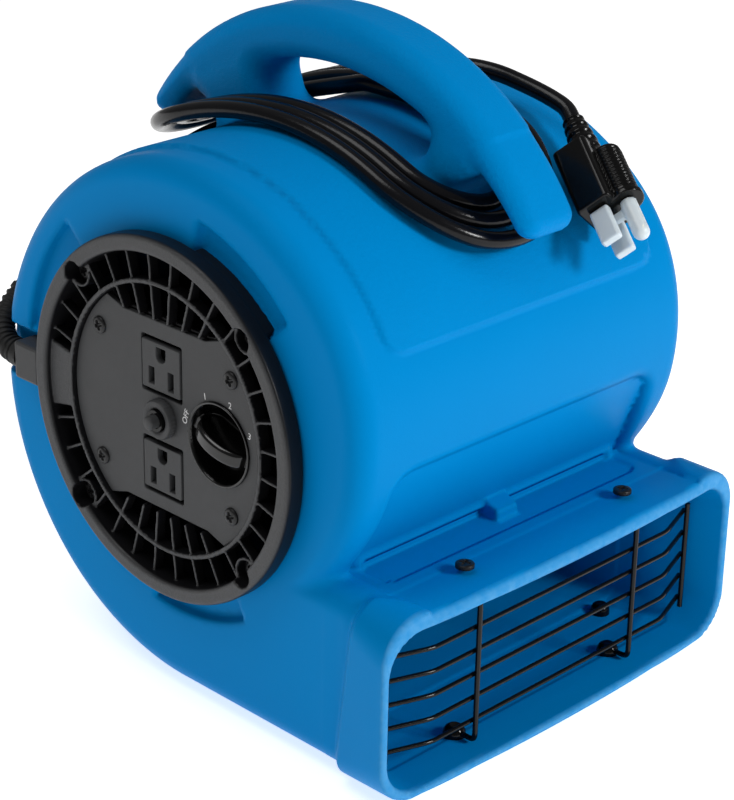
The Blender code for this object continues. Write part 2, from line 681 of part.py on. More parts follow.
def socket_outline(y, z, grow):
    """Rectangle of a power outlet, as side-view points."""
    half, tall = SOCKET_WIDTH / 2 + grow, SOCKET_HEIGHT / 2 + grow
    return [(y - half, z - tall), (y + half, z - tall), (y + half, z + tall), (y - half, z + tall)]


def build_panel():
    """Cover plate of the switch box, with its openings."""
    openings = [about_axis(socket_outline(y, z, GAP)) for y, z in SOCKET_PLACES.values()]
    openings.append(about_axis(circle(5.8 * MM, 16, *BREAKER)))
    openings.append(about_axis(circle(KNOB_NECK + GAP, 32, *KNOB)))
    openings += [about_axis(circle(1.9 * MM, 10, y, z)) for y, z in PANEL_SCREWS]
    plate = extruded([about_axis(panel_outline(-0.4 * MM))] + openings, -PANEL_FACE, -PANEL_FACE + PANEL_THICKNESS)
    screws = [screw(3.4 * MM, 1.5 * MM, -PANEL_FACE + 11 * MM, -PANEL_FACE - GAP, -PANEL_FACE - 1.7 * MM, y, z)
              for y, z in PANEL_SCREWS]
    node("control_panel", plate, GREY)
    numbered("panel_screw", screws, STEEL)


def build_socket(name, y, z):
    """Three-slot power outlet: ground above, blade slots side by side below."""
    front, back = -PANEL_FACE - 0.8 * MM, -PANEL_FACE + 24 * MM
    body = rounded(extruded([about_axis(socket_outline(y, z, 0.0))], front, back), 0.8 * MM, 1)
    slots = []
    for offset, height in ((-6.35 * MM, 9.6 * MM), (6.35 * MM, 8.6 * MM)):
        low = at(-130 * MM, y + offset - 1.5 * MM, z - 5.7 * MM - height / 2)
        high = at(front + 15 * MM, y + offset + 1.5 * MM, z - 5.7 * MM + height / 2)
        slots.append(block(low, high))
    ground = [(y + 2.9 * MM, z + 10 * MM), (y - 2.9 * MM, z + 10 * MM)]
    ground += [(y + 2.9 * MM * math.cos(math.radians(a)), z + 6.2 * MM + 2.9 * MM * math.sin(math.radians(a)))
               for a in range(180, 361, 30)]
    slots.append(extruded([about_axis(ground)], -130 * MM, front + 15 * MM))
    return node(name, cut(body, *slots), BLACK)


def build_breaker():
    """Push-to-reset circuit breaker: body behind the plate, ring nut, button."""
    inner = -PANEL_FACE + PANEL_THICKNESS + GAP
    nut_low, nut_high = -PANEL_FACE - 4.5 * MM, -PANEL_FACE - GAP
    body = turned([(3.7 * MM, nut_low - 0.6 * MM), (5.2 * MM, nut_low - 0.6 * MM), (5.2 * MM, inner),
                   (8.6 * MM, inner), (8.6 * MM, inner + 26 * MM), (0, inner + 26 * MM), (0, inner + 4 * MM),
                   (3.7 * MM, inner + 4 * MM)], at(0, *BREAKER), 16)
    nut = turned([(5.5 * MM, nut_low), (8.4 * MM, nut_low), (9.6 * MM, nut_low + 1.2 * MM), (9.6 * MM, nut_high),
                  (5.5 * MM, nut_high)], at(0, *BREAKER), 16)
    node("breaker_body", body, BLACK)
    node("breaker_nut", nut, BLACK)
    tip = nut_low - BUTTON_PROUD
    button = turned([(0, inner), (3.3 * MM, inner), (3.3 * MM, tip + 0.6 * MM), (2.7 * MM, tip), (0, tip)],
                    at(0, *BREAKER), 14, closed=False)
    node("reset_button", button, BLACK, at(tip, *BREAKER))


def build_knob():
    """Speed knob: bowl let into the panel, its lip on the plate, with an arched grip fin; and its switch."""
    face = -PANEL_FACE
    lip, floor, back = face - 1.8 * MM, face + KNOB_DEPTH, face + KNOB_DEPTH + 2 * MM
    knob = turned([(0, floor), (14.8 * MM, floor), (17.2 * MM, lip + 0.9 * MM), (17.9 * MM, lip),
                   (KNOB_RADIUS - 0.9 * MM, lip), (KNOB_RADIUS, lip + 0.8 * MM), (KNOB_RADIUS, face - GAP),
                   (KNOB_NECK, face - GAP), (KNOB_NECK, back), (0, back)], at(0, *KNOB), 32, closed=False)
    arch = [(17.6 * MM * math.cos(math.radians(a)), -face + 0.5 * MM + 4.7 * MM * math.sin(math.radians(a)))
            for a in range(0, 181, 20)]
    root = [(-16 * MM, -floor - 0.5 * MM), (16 * MM, -floor - 0.5 * MM)]
    fin = extruded([arch + root], -3.5 * MM, 3.5 * MM, 1.2 * MM)
    fin.data.transform(Matrix.Rotation(-math.pi / 2, 4, "Y"))
    fin.data.transform(Matrix.Rotation(-math.radians(KNOB_OFF_ANGLE), 4, "X"))
    fin.data.transform(Matrix.Translation(at(0, *KNOB)))
    join(knob, fin)
    node("speed_knob", knob, BLACK, at(face - 0.6 * MM, *KNOB))
    switch = turned([(0, back + 18 * MM), (13.5 * MM, back + 18 * MM), (13.5 * MM, back + 2 * MM),
                     (4 * MM, back + 2 * MM), (4 * MM, back + GAP), (0, back + GAP)], at(0, *KNOB), 18, closed=False)
    node("rotary_switch", switch, BLACK)


def build_switch_box():
    """Cup of the panel's outline that holds the wiring and carries the motor."""
    front = -(PANEL_FACE - PANEL_THICKNESS - 2 * GAP - 3 * MM)
    wall = 2.5 * MM
    cup = extruded([about_axis(panel_outline(-3 * MM))], front, BOX_BACK)
    hollow = extruded([about_axis(panel_outline(-3 * MM - wall))], front - 10 * MM, BOX_BACK - wall)
    posts = [cylinder(4.2 * MM, front + 0.2 * MM, front + 14 * MM, y, z, 10) for y, z in PANEL_SCREWS]
    cut(cup, hollow)
    join(cup, *posts)
    cut(cup, *[cylinder(1.8 * MM, -125 * MM, front + 12 * MM, y, z, 8) for y, z in PANEL_SCREWS])
    cut(cup, *[cylinder(2.3 * MM, -80 * MM, -50 * MM, y, z, 8) for y, z in motor_screw_places()])
    node("switch_box", cup, GREY)
    capacitor = turned([(0, 20 * MM), (9.5 * MM, 20 * MM), (10.5 * MM, 19 * MM), (10.5 * MM, -20 * MM), (0, -20 * MM)],
                       at(-84 * MM, 42 * MM, 0), 16, "Z", False)
    node("run_capacitor", capacitor, BLACK)


def motor_screw_places():
    """Places of the two motor bolts about the fan axis."""
    return [polar(90.0 + 180.0 * side, 31 * MM) for side in range(2)]


def build_motor():
    """Motor: can with a bearing seat, end bell, stator, rotor on its shaft, two bearings."""
    wall = 2.2 * MM
    seat, land = BEARING_RADIUS + GAP, BEARING_RADIUS + 4 * MM
    near, far = MOTOR_NEAR - 3.7 * MM, MOTOR_FAR
    bearing_near = near + 3.5 * MM + GAP
    bearing_far = far - BEARING_WIDTH - 1 * MM
    can = turned([(SHAFT_RADIUS + 1 * MM, near), (MOTOR_RADIUS, near), (MOTOR_RADIUS, far - GAP),
                  (MOTOR_RADIUS - wall, far - GAP), (MOTOR_RADIUS - wall, near + 3.5 * MM),
                  (land, near + 3.5 * MM), (land, bearing_near + BEARING_WIDTH), (seat, bearing_near + BEARING_WIDTH),
                  (seat, near + 3.5 * MM), (SHAFT_RADIUS + 1 * MM, near + 3.5 * MM)], at(0, 0, 0), 24)
    cut(can, *[cylinder(2.3 * MM, -80 * MM, near + 8 * MM, y, z, 10) for y, z in motor_screw_places()])
    node("motor_can", can, STEEL)
    bell = turned([(SHAFT_RADIUS + 1 * MM, far), (MOTOR_RADIUS, far), (MOTOR_RADIUS, far + 3 * MM),
                   (SHAFT_RADIUS + 1 * MM, far + 3 * MM)], at(0, 0, 0), 24)
    ring = turned([(seat, bearing_far - 0.5 * MM), (land, bearing_far - 0.5 * MM), (land, far + 1 * MM),
                   (seat, far + 1 * MM)], at(0, 0, 0), 24)
    node("motor_end_bell", join(bell, ring), STEEL)
    for name, low in (("bearing_near", bearing_near), ("bearing_far", bearing_far)):
        race = turned([(SHAFT_RADIUS + GAP, low), (BEARING_RADIUS, low), (BEARING_RADIUS, low + BEARING_WIDTH - GAP),
                       (SHAFT_RADIUS + GAP, low + BEARING_WIDTH - GAP)], at(0, 0, 0), 18)
        node(name, race, STEEL)
    stator = turned([(24 * MM, -44 * MM), (MOTOR_RADIUS - wall - GAP, -44 * MM),
                     (MOTOR_RADIUS - wall - GAP, -12 * MM), (24 * MM, -12 * MM)], at(0, 0, 0), 24)
    node("motor_stator", stator, STEEL)
    rotor = turned([(SHAFT_RADIUS + GAP, -44 * MM), (23 * MM, -44 * MM), (23 * MM, -12 * MM),
                    (SHAFT_RADIUS + GAP, -12 * MM)], at(0, 0, 0), 24)
    node("motor_rotor", rotor, STEEL, at(0, 0, 0))
    shaft = cylinder(SHAFT_RADIUS, near + 1 * MM, WHEEL_DISC + 14 * MM, 0, 0, 24)
    node("motor_shaft", shaft, STEEL, at(0, 0, 0))
    seat_x = BOX_BACK - 2.5 * MM - GAP
    bolts = [screw(4 * MM, 2 * MM, near + 5 * MM, seat_x, seat_x - 2.6 * MM, y, z) for y, z in motor_screw_places()]
    numbered("motor_bolt", bolts, STEEL)


def build_wheel():
    """Double-inlet fan wheel: hub disc, forward-curved blades and two end rings."""
    inner = WHEEL_RADIUS - 14 * MM
    wheel = turned([(SHAFT_RADIUS + GAP, WHEEL_DISC - 8 * MM), (11 * MM, WHEEL_DISC - 8 * MM), (11 * MM, WHEEL_DISC),
                    (WHEEL_RADIUS - 1 * MM, WHEEL_DISC), (WHEEL_RADIUS - 1 * MM, WHEEL_DISC + 2.5 * MM),
                    (11 * MM, WHEEL_DISC + 2.5 * MM), (11 * MM, WHEEL_DISC + 12 * MM),
                    (SHAFT_RADIUS + GAP, WHEEL_DISC + 12 * MM)], at(0, 0, 0), 28)
    rings = [turned([(inner, x), (WHEEL_RADIUS, x), (WHEEL_RADIUS, x + 3 * MM), (inner, x + 3 * MM)],
                    at(0, 0, 0), 28) for x in (WHEEL_NEAR, WHEEL_FAR - 3 * MM)]
    blades = []
    for index in range(BLADE_COUNT):
        start = 360.0 * index / BLADE_COUNT
        curve = ((62.0, 0.0), (68.0, 3.6), (73.5, 4.2))
        outline = [polar(start + lean, r * MM) for r, lean in curve]
        outline += [polar(start + lean + 1.4, r * MM) for r, lean in reversed(curve)]
        blades.append(extruded([about_axis(outline)], WHEEL_NEAR + 1 * MM, WHEEL_FAR - 1 * MM))
    join(wheel, *rings, group(blades))
    node("fan_wheel", wheel, BLACK, at(0, 0, 0))


def build_guard():
    """Wire guard in the outlet: five rows welded to four uprights, two of them ending in eyes."""
    wires = []
    end_x, end_y = GUARD_END
    for z in GUARD_ROWS:
        route = [at(-end_x, end_y, z), at(-GUARD_BEND, GUARD_Y, z), at(GUARD_BEND, GUARD_Y, z), at(end_x, end_y, z)]
        wires.append(tube(route, WIRE_RADIUS, 1))
    low, high = GUARD_ROWS[-1], GUARD_ROWS[0]
    front = GUARD_Y - 1.6 * WIRE_RADIUS
    for side in (-1, 1):
        x = side * GUARD_POST
        route = [at(x, GUARD_SCREW_Y - 3 * MM, EYE_Z), at(x, front + 3 * MM, EYE_Z - 0.5 * MM),
                 at(x, front, EYE_Z - 4.0 * MM), at(x, front, CLIP_Z + 3 * MM), at(x, front + 3 * MM, CLIP_Z + 0.4 * MM),
                 at(x, GUARD_SCREW_Y + 3 * MM, CLIP_Z)]
        wires.append(tube(route, WIRE_RADIUS, 1))
        ring = [(3.6 * MM + WIRE_RADIUS * math.cos(turn), -WIRE_RADIUS * math.sin(turn))
                for turn in np.radians(np.arange(0.0, 360.0, 45.0))]
        wires.append(turned(ring, at(x, GUARD_SCREW_Y, EYE_Z), 16, "Z"))
        x = side * (end_x - 1.0 * MM)
        wires.append(tube([at(x, end_y - 2.0 * MM, high + 5 * MM), at(x, end_y - 2.0 * MM, low - 4 * MM)],
                          WIRE_RADIUS, 1))
    node("outlet_guard", join(wires[0], *wires[1:]), BLACK)


def build_guard_fixings():
    """Screws that hold the guard's eyes under the duct roof, and push-in clips on the duct floor."""
    clips, screws = [], []
    roof = AXIS_Z + MOUTH_TOP + 0.9 * MM
    eye = AXIS_Z + EYE_Z
    wire = AXIS_Z + CLIP_Z
    floor = AXIS_Z - BASE_DROP + MOUTH_LIP + GAP
    for side in (-1, 1):
        x = side * GUARD_POST
        place = Vector((x, AXIS_Y + GUARD_SCREW_Y, 0))
        head = [(0, roof + 2.6 * MM), (3 * MM, roof + 2.2 * MM), (4.5 * MM, roof + 1 * MM), (4.5 * MM, roof)]
        screws.append(turned(head + [(1.5 * MM, roof), (1.5 * MM, eye - 3.5 * MM), (0, eye - 3.5 * MM)], place, 16,
                             "Z", False))
        low = Vector((x - 6 * MM, place.y - 4.5 * MM, floor))
        clip = rounded(block(low, Vector((x + 6 * MM, place.y + 9 * MM, wire + WIRE_RADIUS + 2.2 * MM))), 1.2 * MM, 1)
        groove = block((x - WIRE_RADIUS - GAP, place.y - 20 * MM, floor - 5 * MM),
                       (x + WIRE_RADIUS + GAP, place.y + 3.5 * MM, wire + WIRE_RADIUS + GAP))
        stem = upright(1.5 * MM, FOOT_HEIGHT + 0.5 * MM, floor + 1.5 * MM, x, GUARD_SCREW_Y + 6.2 * MM, 12)
        clips.append(join(cut(clip, groove), stem))
    numbered("guard_screw", screws, BLACK)
    numbered("guard_clip", clips, BLACK)


def build_feet():
    """Rubber feet with their screws; the front pair end in domed nuts on the duct floor."""
    screws, nuts = [], []
    floor = AXIS_Z - BASE_DROP + WALL + 0.8 * MM
    for name, (x, y) in FEET.items():
        centre = Vector((x, AXIS_Y + y, 0))
        top = FOOT_HEIGHT - GAP
        foot = turned([(2.4 * MM, top), (FOOT_RADIUS, top), (FOOT_RADIUS, 1 * MM), (FOOT_RADIUS - 1 * MM, 0),
                       (5 * MM, 0), (5 * MM, 1.8 * MM), (2.4 * MM, 1.8 * MM)], centre, 12, "Z")
        node(name, foot, RUBBER)
        reach, seat = floor + 4 * MM, 1.5 * MM
        screws.append(turned([(0, reach), (2 * MM, reach), (2 * MM, seat), (4.2 * MM, seat), (4.2 * MM, 0.4 * MM),
                              (0, 0.4 * MM)], centre, 8, "Z", False))
        if y < 0:
            nuts.append(turned([(0, floor + 8 * MM), (4 * MM, floor + 7.4 * MM), (7 * MM, floor + 5 * MM),
                                (8.5 * MM, floor + 1 * MM), (8.5 * MM, floor), (2.3 * MM, floor),
                                (2.3 * MM, floor + 5 * MM), (0, floor + 5 * MM)], centre, 14, "Z", False))
    numbered("foot_screw", screws, STEEL)
    numbered("foot_nut", nuts, BLACK)


def cord_bend(route, spacing):
    """Points every so far along a smooth curve through a cord's route."""
    knots = [np.array(at(*(v * MM for v in point))) for point in route]
    fine = np.array([smooth_through(knots, t) for t in np.linspace(0, len(knots) - 1, 40 * len(knots))])
    travel = np.concatenate([[0.0], np.cumsum(np.linalg.norm(np.diff(fine, axis=0), axis=1))])
    count = max(int(round(travel[-1] / spacing)), 2)
    wanted = np.linspace(0.0, travel[-1], count + 1)
    return [Vector([np.interp(s, travel, fine[:, k]) for k in range(3)]) for s in wanted]


def loop_point(step):
    """A point of the winding: straight runs beside the handle, half turns round its posts.

    Each loop lies outside the one before it. Its front turn is flattened towards the
    horn, and the whole cord drops towards the front and the rear.
    """
    turn = step / LOOP_POINTS
    phase = step % LOOP_POINTS
    half = LOOP_HALF + LOOP_PITCH * turn
    rear = turn - 20 / 24
    rear_y = LOOP_REAR[0] + LOOP_REAR_STEP[0] * rear
    rear_z = LOOP_REAR[1] + LOOP_REAR_STEP[1] * rear + LOOP_REAR_STEP[2] * rear * abs(rear)
    front = turn - 8 / 24
    rear_centre = rear_y - half
    front_centre = LOOP_FRONT - LOOP_PITCH * front + half
    pull = (LOOP_FRONT_STEP + LOOP_PITCH) * front
    if phase < 4:
        x, y, side = half, rear_centre + (front_centre - rear_centre) * phase / 4, 1.0
    elif phase < 12:
        angle = math.pi * (phase - 4) / 8
        reach = math.sin(angle)
        x, y, side = half * math.cos(angle), front_centre - half * reach + pull * reach ** 6, math.cos(angle)
    elif phase < 16:
        x, y, side = -half, front_centre + (rear_centre - front_centre) * (phase - 12) / 4, -1.0
    else:
        angle = math.pi * (phase - 16) / 8
        x, y, side = -half * math.cos(angle), rear_centre + half * math.sin(angle), -math.cos(angle)
    if y > 0:
        z = LOOP_TOP - (LOOP_TOP - rear_z) * (y / rear_y) ** 2
    else:
        z = LOOP_TOP - LOOP_DROP * (y / LOOP_DROP_AT) ** 2 * (-y / LOOP_DROP_AT * 0.91) ** (1.0 + side)
    return np.array(at(x, y, z))


def winding_points():
    """The wound cord's points, with a straight stretch of one diameter at each end."""
    points = [loop_point(step) for step in range(2, LOOPS * LOOP_POINTS + 2)]
    for end, inner in ((0, 1), (-1, -2)):
        away = points[end] - points[inner]
        points.insert(0 if end == 0 else len(points), points[end] + away / np.linalg.norm(away) * 2 * CORD_RADIUS)
    return points


def least_gap(points, radius):
    """Smallest clear distance between stretches of a tube that aren't neighbours."""
    fine = []
    for a, b in zip(points, points[1:]):
        fine += [a + (b - a) * i / 6 for i in range(6)]
    fine = np.array(fine)
    travel = np.concatenate([[0.0], np.cumsum(np.linalg.norm(np.diff(fine, axis=0), axis=1))])
    distance = np.linalg.norm(fine[:, None] - fine[None], axis=2)
    distance[np.abs(travel[:, None] - travel[None]) < 60 * MM] = 1.0
    return distance.min() - 2 * radius


def plug_frame():
    """Matrix of the plug: local X along the prongs, Z towards the ground pin."""
    along = Vector(PLUG_AXIS).normalized()
    ground = Vector(PLUG_GROUND_SIDE)
    ground = (ground - along * ground.dot(along)).normalized()
    across = ground.cross(along)
    place = at(*(v * MM for v in PLUG_FACE))
    return Matrix.Translation(place) @ Matrix((along, across, ground)).transposed().to_4x4()


def in_plug(obj, frame):
    """Move a solid modelled in plug space to its place."""
    obj.data.transform(frame)
    return obj


def build_cord():
    """Gland, strain relief, lead, winding round the handle, tail and plug."""
    gland = block(at(-119.5 * MM, RING_RADIUS + 0.5 * MM, -11 * MM), at(-SIDE_HALF + 5.6 * MM, GLAND_REAR, 8 * MM))
    node("cord_gland", rounded(gland, 1.5 * MM, 2), GREY)
    relief = cord_bend(RELIEF_ROUTE, 6 * MM)
    taper = [1.0 - 0.3 * i / (len(relief) - 1) for i in range(len(relief))]
    node("strain_relief", tube(relief, 7.2 * MM, 2, taper), RUBBER)
    winding = winding_points()
    print("winding: least gap to itself %.2f mm" % (least_gap(winding, CORD_RADIUS) / MM))
    node("cord_winding", tube(winding, CORD_RADIUS, 1), BLACK)
    frame = plug_frame()
    start, end = Vector(winding[0]), Vector(winding[-1])
    inwards = (Vector(winding[0]) - Vector(winding[1])).normalized()
    outwards = (Vector(winding[-1]) - Vector(winding[-2])).normalized()
    to_route = Matrix.Scale(1 / MM, 4) @ Matrix.Translation(-at(0, 0, 0))
    along = (relief[-1] - relief[-2]).normalized()
    lead_start = [tuple(to_route @ (relief[-1] + along * 9 * MM))]
    lead_end = [tuple(to_route @ (start + inwards * 9 * MM))]
    lead = cord_bend(lead_start + LEAD_ROUTE + lead_end, 18 * MM)
    lead = [relief[-1] + along * GAP] + lead + [start + inwards * GAP]
    node("cord_lead", tube(lead, CORD_RADIUS, 2), BLACK)
    relief_end = frame @ Vector((-PLUG_LENGTH - PLUG_RELIEF - GAP, 0, 4 * MM))
    back = -(frame.to_3x3() @ Vector((1, 0, 0)))
    tail_start = [tuple(to_route @ (end + outwards * 9 * MM))]
    tail_end = [tuple(to_route @ (relief_end + back * 9 * MM))]
    tail = [end + outwards * GAP] + cord_bend(tail_start + TAIL_ROUTE + tail_end, 18 * MM) + [relief_end]
    node("cord_tail", tube(tail, CORD_RADIUS, 2), BLACK)
    length = sum((b - a).length for row in (relief, lead, [Vector(p) for p in winding], tail)
                 for a, b in zip(row, row[1:]))
    print("cord: %.2f m from gland to plug" % length)
    build_plug(frame)


def build_plug(frame):
    """Three-pin plug lying beside the handle, with a clear cap over its prongs."""
    body = block((-PLUG_LENGTH, -13 * MM, -8.5 * MM), (0, 13 * MM, 9 * MM))
    barrel = turned([(0, 0), (8 * MM, 0), (8 * MM, -2.6 * MM), (6.8 * MM, -3 * MM), (6.8 * MM, -30 * MM), (0, -32 * MM)],
                    Vector((0, 0, 0)), 24, closed=False)
    barrel.data.transform(Matrix.Translation((0.2 * MM, 0, 11.9 * MM)))
    relief = turned([(0, -PLUG_LENGTH + 2 * MM), (7 * MM, -PLUG_LENGTH + 2 * MM), (7 * MM, -PLUG_LENGTH - 8 * MM),
                     (5.2 * MM, -PLUG_LENGTH - PLUG_RELIEF), (0, -PLUG_LENGTH - PLUG_RELIEF)],
                    Vector((0, 0, 0)), 20, closed=False)
    relief.data.transform(Matrix.Translation((0, 0, 4 * MM)))
    plug = join(in_plug(rounded(body, 3 * MM, 2), frame), in_plug(barrel, frame), in_plug(relief, frame))
    pins = [block((-6 * MM, y - 0.75 * MM, -3.2 * MM), (16 * MM, y + 0.75 * MM, 3.2 * MM))
            for y in (-6.35 * MM, 6.35 * MM)]
    post = turned([(0, 19 * MM), (1.6 * MM, 19 * MM), (2.4 * MM, 17 * MM), (2.4 * MM, -6 * MM), (0, -6 * MM)],
                  Vector((0, 0, 0)), 16, closed=False)
    post.data.transform(Matrix.Translation((0, 0, 11.9 * MM)))
    holes = [block((-6.3 * MM, y - 1.05 * MM, -3.5 * MM), (5 * MM, y + 1.05 * MM, 3.5 * MM))
             for y in (-6.35 * MM, 6.35 * MM)]
    hole = turned([(0, 5 * MM), (2.7 * MM, 5 * MM), (2.7 * MM, -6.3 * MM), (0, -6.3 * MM)], Vector((0, 0, 0)), 16,
                  closed=False)
    hole.data.transform(Matrix.Translation((0, 0, 11.9 * MM)))
    cut(plug, *[in_plug(tool, frame) for tool in holes + [hole]])
    node("plug_body", plug, BLACK)
    for name, pin in zip(("plug_blade_line", "plug_blade_neutral", "plug_ground_pin"), pins + [post]):
        node(name, in_plug(pin, frame), BRASS)
    sleeves = [block((0.6 * MM, y - 2.2 * MM, -4.8 * MM), (19 * MM, y + 2.2 * MM, 4.8 * MM))
               for y in (-6.35 * MM, 6.35 * MM)]
    sleeve = turned([(0, 22.5 * MM), (2.2 * MM, 22.5 * MM), (3.9 * MM, 20.8 * MM), (3.9 * MM, 0.6 * MM), (0, 0.6 * MM)],
                    Vector((0, 0, 0)), 16, closed=False)
    sleeve.data.transform(Matrix.Translation((0, 0, 11.9 * MM)))
    bridge = block((3 * MM, -6 * MM, -2 * MM), (7 * MM, 6 * MM, 2 * MM))
    tie = block((3 * MM, -1.5 * MM, 0), (7 * MM, 1.5 * MM, 11 * MM))
    cap = join(in_plug(rounded(sleeves[0], 1 * MM, 1), frame), in_plug(rounded(sleeves[1], 1 * MM, 1), frame),
               in_plug(sleeve, frame), in_plug(bridge, frame), in_plug(tie, frame))
    wells = [block((-1 * MM, y - 1.05 * MM, -3.5 * MM), (16.4 * MM, y + 1.05 * MM, 3.5 * MM))
             for y in (-6.35 * MM, 6.35 * MM)]
    well = turned([(0, 19.4 * MM), (2.7 * MM, 19.4 * MM), (2.7 * MM, -1 * MM), (0, -1 * MM)], Vector((0, 0, 0)), 16,
                  closed=False)
    well.data.transform(Matrix.Translation((0, 0, 11.9 * MM)))
    cut(cap, *[in_plug(tool, frame) for tool in wells + [well]])
    node("prong_cap", cap, WHITE)


build_housing()
build_control_grille()
build_far_grille()
build_grille_screws(-1)
build_grille_screws(1)
build_panel()
for socket_name, (socket_y, socket_z) in SOCKET_PLACES.items():
    build_socket(socket_name, socket_y, socket_z)
build_breaker()
build_knob()
build_switch_box()
build_motor()
build_wheel()
build_guard()
build_guard_fixings()
build_feet()
build_cord()
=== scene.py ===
"""Air mover: the looks of a small floor dryer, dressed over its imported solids.

X runs across the machine with the controls on -X, the air leaves towards -Y, and Z is up
from the floor. Shapes are worked out in millimetres about the fan axis, and kept in metres.
"""
import math
from functools import reduce

import bpy
import numpy as np
from mathutils import Matrix, Vector


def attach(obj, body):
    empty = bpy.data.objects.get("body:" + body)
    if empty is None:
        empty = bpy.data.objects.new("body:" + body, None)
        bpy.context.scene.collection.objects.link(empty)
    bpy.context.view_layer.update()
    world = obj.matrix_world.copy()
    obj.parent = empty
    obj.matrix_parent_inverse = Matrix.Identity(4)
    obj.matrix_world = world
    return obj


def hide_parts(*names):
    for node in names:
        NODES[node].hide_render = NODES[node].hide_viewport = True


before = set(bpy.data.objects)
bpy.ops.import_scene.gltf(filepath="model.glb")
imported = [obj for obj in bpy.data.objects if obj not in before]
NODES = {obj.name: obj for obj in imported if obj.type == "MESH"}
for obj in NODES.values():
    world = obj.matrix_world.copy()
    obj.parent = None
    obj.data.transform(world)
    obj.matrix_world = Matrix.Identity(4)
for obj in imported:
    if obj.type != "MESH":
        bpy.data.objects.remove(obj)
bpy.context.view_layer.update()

# Photograph's view
# A long lens a little over a metre away, looking down on the control side and the outlet. Its place and
# turn were worked out from the ring of the grille and the panel in the photograph.
EYE = (-0.743716, -0.729609, 0.576071)
VIEW_RIGHT = np.array([0.703567, -0.710402, 0.017973])
VIEW_DOWN = np.array([-0.272561, -0.293124, -0.916400])
VIEW_FORWARD = np.array([0.656281, 0.639850, -0.399860])
LENS_MM, CLIP_NEAR, CLIP_FAR = 105.27, 0.05, 50.0


def placed(name, data):
    """A new object in the scene."""
    made = bpy.data.objects.new(name, data)
    bpy.context.scene.collection.objects.link(made)
    return made


lens = bpy.data.cameras.new("camera")
lens.lens = LENS_MM
lens.clip_start = CLIP_NEAR
lens.clip_end = CLIP_FAR
camera = placed("camera", lens)
turned = np.array([VIEW_RIGHT, -VIEW_DOWN, -VIEW_FORWARD]).T
camera.matrix_world = Matrix.Translation(EYE) @ Matrix(turned.tolist()).to_4x4()
bpy.context.scene.camera = camera


# Studio
# A pale paper floor that runs far back and glows a little, so that it shows white round the machine. A
# soft lamp stands ahead, a larger one hangs overhead, and the white room adds a faint even light. Each
# lamp has a place and a width in metres, and a power in watts.
FLOOR_HALF, FLOOR_GLOW, ROOM_LIGHT = 9.0, 0.68, 0.19
LAMPS = {"key_lamp": ((0.55, -1.8, 1.1), 0.5, 28.5), "top_lamp": ((-0.6, 0.3, 1.7), 0.9, 10.0)}
LAMPS_AIM = Vector((0.0, 0.0, 0.15))
WHITE = (1.0, 1.0, 1.0, 1.0)


class Shade:
    """A shader socket that takes part in Python expressions."""

    def __init__(self, tree, socket=None):
        self.tree = tree
        self.socket = socket

    def node(self, kind, settings=None, inputs=None, output=0):
        """Add any node: its settings first, then the values or links of its sockets."""
        made = self.tree.nodes.new(kind)
        for key, value in (settings or {}).items():
            setattr(made, key, value)
        for key, value in (inputs or {}).items():
            if isinstance(value, Shade):
                self.tree.links.new(value.socket, made.inputs[key])
            else:
                made.inputs[key].default_value = value
        return Shade(self.tree, made.outputs[output])

    def math(self, operation, other):
        """This value combined with another, or with a plain number."""
        return self.node("ShaderNodeMath", {"operation": operation}, {0: self, 1: other})

    def __add__(self, other):
        return self.math("ADD", other)

    def __mul__(self, other):
        return self.math("MULTIPLY", other)

    __radd__ = __add__
    __rmul__ = __mul__


def finish(name, **sockets):
    """A new material with its plain Principled sockets set, a place to add nodes, and its shader."""
    made = bpy.data.materials.new(name)
    made.use_nodes = True
    shader = made.node_tree.nodes["Principled BSDF"]
    for key, value in sockets.items():
        shader.inputs[key.replace("_", " ")].default_value = value
    return made, Shade(made.node_tree), shader


def feed(shade, shader, **sockets):
    """Link worked-out values to a Principled shader's sockets."""
    for key, value in sockets.items():
        shade.tree.links.new(value.socket, shader.inputs[key.replace("_", " ")])


def noise(shade, scale, detail=3.0, roughness=0.55):
    """Cloudy noise of a number of cells per metre in the piece's own coordinates, from 0 to 1."""
    place = shade.node("ShaderNodeTexCoord", output=3)
    return shade.node("ShaderNodeTexNoise", None, {
        "Vector": place, "Scale": scale, "Detail": detail, "Roughness": roughness})


def mixed(shade, mask, first, second):
    """Two colours mixed by a mask; each is red, green and blue, or comes from a node."""
    first, second = (colour if isinstance(colour, Shade) else (*colour, 1.0) for colour in (first, second))
    return shade.node("ShaderNodeMix", {"data_type": "RGBA"}, {0: mask, 6: first, 7: second}, 2)


def bumped(shade, height, distance):
    """A normal from a height between 0 and 1 that stands for so many metres."""
    return shade.node("ShaderNodeBump", None, {"Height": height, "Distance": distance})


sheet = bpy.data.meshes.new("floor")
sheet.from_pydata([(x * FLOOR_HALF, y * FLOOR_HALF, 0.0) for x, y in ((-1, -1), (1, -1), (1, 1), (-1, 1))],
                  [], [(0, 1, 2, 3)])
floor = placed("floor", sheet)
paper, shade, shader = finish("studio_floor", Roughness=0.9, Emission_Color=WHITE,
                              Emission_Strength=FLOOR_GLOW)
feed(shade, shader, Base_Color=mixed(shade, noise(shade, 2.0), (0.93, 0.93, 0.93), (0.95, 0.95, 0.95)))
sheet.materials.append(paper)

